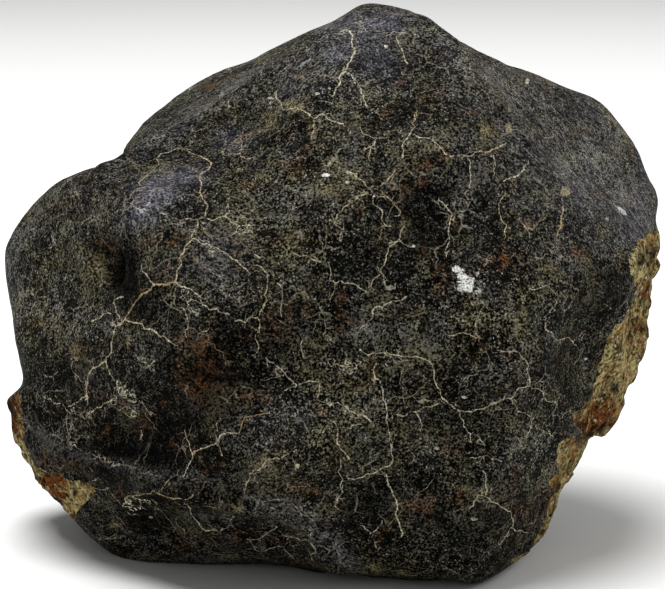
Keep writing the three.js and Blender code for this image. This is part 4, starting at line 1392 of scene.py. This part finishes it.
speckle = crust.times_plus(crust.noise(place, 0.6, 2.0), 1.3, -0.65)
fleck_distance = crust.plus(crust.arrow("LENGTH", crust.attribute("fleck", "Vector")), speckle)
fleck_share = crust.step(fleck_distance, 0.75, 1.1, 1.0, 0.0)
fleck_near = crust.step(crust.attribute("fleck_gap"), 2.6, 3.4, 1.0, 0.0)
fleck_share = crust.times(fleck_share, fleck_near)
white = crust.mix(crust.attribute("fleck_warm"), WHITE, WARM_WHITE)
dim = crust.times(crust.attribute("fleck_bright"), crust.step(fine, 0.30, 0.62, 0.25, 1.0))
white = crust.mix(1.0, white, crust.grey(dim), "MULTIPLY")
colour = crust.mix(fleck_share, colour, white)
print("with the flecks it takes", len(crust.tree.nodes))

# %% [markdown]
# The broken inside is tan stone with dark and pale round grains in it and rusty in patches.
# Painted shade darkens it in crevices placed by noise, and in its pits, a notch and the shadowed
# strips of the breaks.

# %% The broken inside
INSIDE = ((0.020, 0.013, 0.004), (0.47, 0.39, 0.175))
INSIDE_WARM = ((0.030, 0.014, 0.004), (0.44, 0.27, 0.090))
DARK_GRAIN, PALE_GRAIN = (0.018, 0.014, 0.008), (0.54, 0.51, 0.36)
# the colour of the painted shade in crevices
PAINTED_CREVICE_SHADE = (0.045, 0.026, 0.010)
INSIDE_BROWN = ((0.010, 0.0032, 0.0010), (0.150, 0.042, 0.009))
# the colour of the inside's painted shade
INSIDE_PAINTED_SHADE = (0.008, 0.006, 0.004)

stone_grain = crust.noise(place, 0.7, detail=3.0, roughness=0.65)
coarse_grain = crust.noise(place, 3.2, detail=3.0, roughness=0.6)
grain_tops = crust.times_plus(coarse_grain, 0.7, stone_grain)
inside = crust.shade(grain_tops, 0.64, 1.04, *INSIDE)
warm = crust.step(crust.noise(crust.arrow("ADD", place, (4.0, 9.0, 6.0)), 5.0, 3.0), 0.46, 0.66)
warm_stone = crust.shade(grain_tops, 0.64, 1.04, *INSIDE_WARM)
inside = crust.mix(crust.times(warm, 0.8), inside, warm_stone)
dark_grains = crust.cells(place, 1.3)
inside = crust.mix(crust.step(dark_grains, 0.18, 0.29, 0.85, 0.0), inside, DARK_GRAIN)
# painted shade of crevices, placed by noise
painted_crevice_shade = crust.step(crust.noise(place, 2.4, 3.0, 0.62), 0.36, 0.50, 0.80, 0.0)
inside = crust.mix(painted_crevice_shade, inside, PAINTED_CREVICE_SHADE)
pale_grains = crust.cells(crust.arrow("ADD", place, (7.3, 2.1, 4.4)), 1.5)
inside = crust.mix(crust.step(pale_grains, 0.17, 0.27, 0.75, 0.0), inside, PALE_GRAIN)
loose = crust.noise(crust.arrow("ADD", place, (9.0, 5.0, 2.0)), 4.5, 4.0, 0.65)
loose = crust.times(crust.step(loose, 0.52, 0.70), 0.7)
inside_rust = crust.plus(loose, crust.attribute("inside_rust"))
rust_grain = crust.step(crust.noise(place, 1.5, 3.0, 0.6), 0.36, 0.58)
inside_rust = crust.times(inside_rust, rust_grain, clamp=True)
inside_brown = crust.shade(grain_tops, 0.68, 1.0, *INSIDE_BROWN)
inside = crust.mix(crust.times(inside_rust, 0.95), inside, inside_brown)
# painted shade in the pits, the notch and the shadowed strips
inside_painted_shade = crust.times(crust.attribute("inside_painted_shade"), 0.9, clamp=True)
inside = crust.mix(inside_painted_shade, inside, INSIDE_PAINTED_SHADE)
edge_noise = crust.times_plus(crust.noise(place, 1.3, 3.0, 0.6), 1.2, -0.6)
open_share = crust.step(crust.plus(crust.attribute("cut"), edge_noise), -0.04, 0.06)
colour = crust.mix(open_share, colour, inside)
print("with the inside it takes", len(crust.tree.nodes))

# %% Roughness and fine bumps
CRUST_ROUGH, SHEEN_ROUGH, SALT_ROUGH, INSIDE_ROUGH = 0.55, 0.42, 0.85, 0.90
SPECULAR = 0.02

crust_rough = crust.between(painted_sheen, CRUST_ROUGH, SHEEN_ROUGH)
marks = crust.maths("MAXIMUM", crack_share, fleck_share)
rough = crust.between(marks, crust_rough, SALT_ROUGH)
rough = crust.between(open_share, rough, INSIDE_ROUGH)
crust_height = crust.times_plus(fine, 0.45, crust.times(blotch, 0.30))
crust_height = crust.times(crust_height, crust.between(painted_sheen, 1.0, 0.55))
crust_height = crust.times_plus(crack_share, -0.05, crust_height)
crust_height = crust.times_plus(fleck_share, 0.06, crust_height)
height = crust.between(open_share, crust_height, crust.times(stone_grain, 0.55))
bump = crust.node("ShaderNodeBump", {"Strength": 1.0, "Distance": MM, "Height": height})
finish = {"Base Color": colour, "Roughness": rough, "Normal": bump.outputs[0],
          "Specular IOR Level": SPECULAR}
for name, value in finish.items():
    crust.put(crust.surface.inputs[name], value)
mesh.materials.append(crust.material)
print("the material has", len(crust.tree.nodes), "nodes")

# %% [markdown]
# ## The studio
# A pale floor, a broad soft light above and a little to the left, a weaker one from the right,
# and a quiet surround. The camera looks from the front, 12 degrees down, from 42 centimetres.

# %% Floor and surround
FLOOR_M = 12
bpy.ops.mesh.primitive_plane_add(size=FLOOR_M, location=(0, 0, 0))
floor = bpy.context.object
floor.name = "floor"
floor_paint = Recipe("pale_floor")
floor_paint.put(floor_paint.surface.inputs["Base Color"], (0.86, 0.86, 0.85))
floor_paint.put(floor_paint.surface.inputs["Roughness"], 0.9)
floor.data.materials.append(floor_paint.material)

world = bpy.data.worlds.new("surround")
world.use_nodes = True
world.node_tree.nodes["Background"].inputs["Color"].default_value = (1.0, 1.0, 1.0, 1)
world.node_tree.nodes["Background"].inputs["Strength"].default_value = 0.25
bpy.context.scene.world = world
print("the floor is", FLOOR_M, "metres wide")

# %% Light and camera
SENSOR_MM = 36
eye_target = Vector(SHIFT * MM)


def soft_light(name, place_m, size_m, watts):
    """A round area light that looks at the stone."""
    lamp = bpy.data.lights.new(name, "AREA")
    lamp.shape = "DISK"
    lamp.size = size_m
    lamp.energy = watts
    lamp_object = bpy.data.objects.new(name, lamp)
    lamp_object.location = Vector(place_m)
    lamp_object.rotation_euler = (eye_target - Vector(place_m)).to_track_quat("-Z", "Y").to_euler()
    bpy.context.scene.collection.objects.link(lamp_object)


soft_light("overhead", (-0.30, 0.0, 2.0), 1.15, 50)
soft_light("from_the_right", (1.50, 0.35, 1.1), 0.9, 10)

eye_m = EYE_DISTANCE * MM
camera_data = bpy.data.cameras.new("camera")
camera_data.sensor_width = SENSOR_MM
camera_data.lens = SENSOR_MM * EYE_DISTANCE / (PICTURE[0] * PIXEL)
camera = bpy.data.objects.new("camera", camera_data)
camera.location = eye_target + Vector(
    (0, -eye_m * math.cos(VIEW_TILT), eye_m * math.sin(VIEW_TILT)))
camera.rotation_euler = (math.pi / 2 - VIEW_TILT, 0, 0)
bpy.context.scene.collection.objects.link(camera)
bpy.context.scene.camera = camera
bpy.context.scene.view_settings.view_transform = "Standard"
print("the camera stands at", [round(part, 3) for part in camera.location])
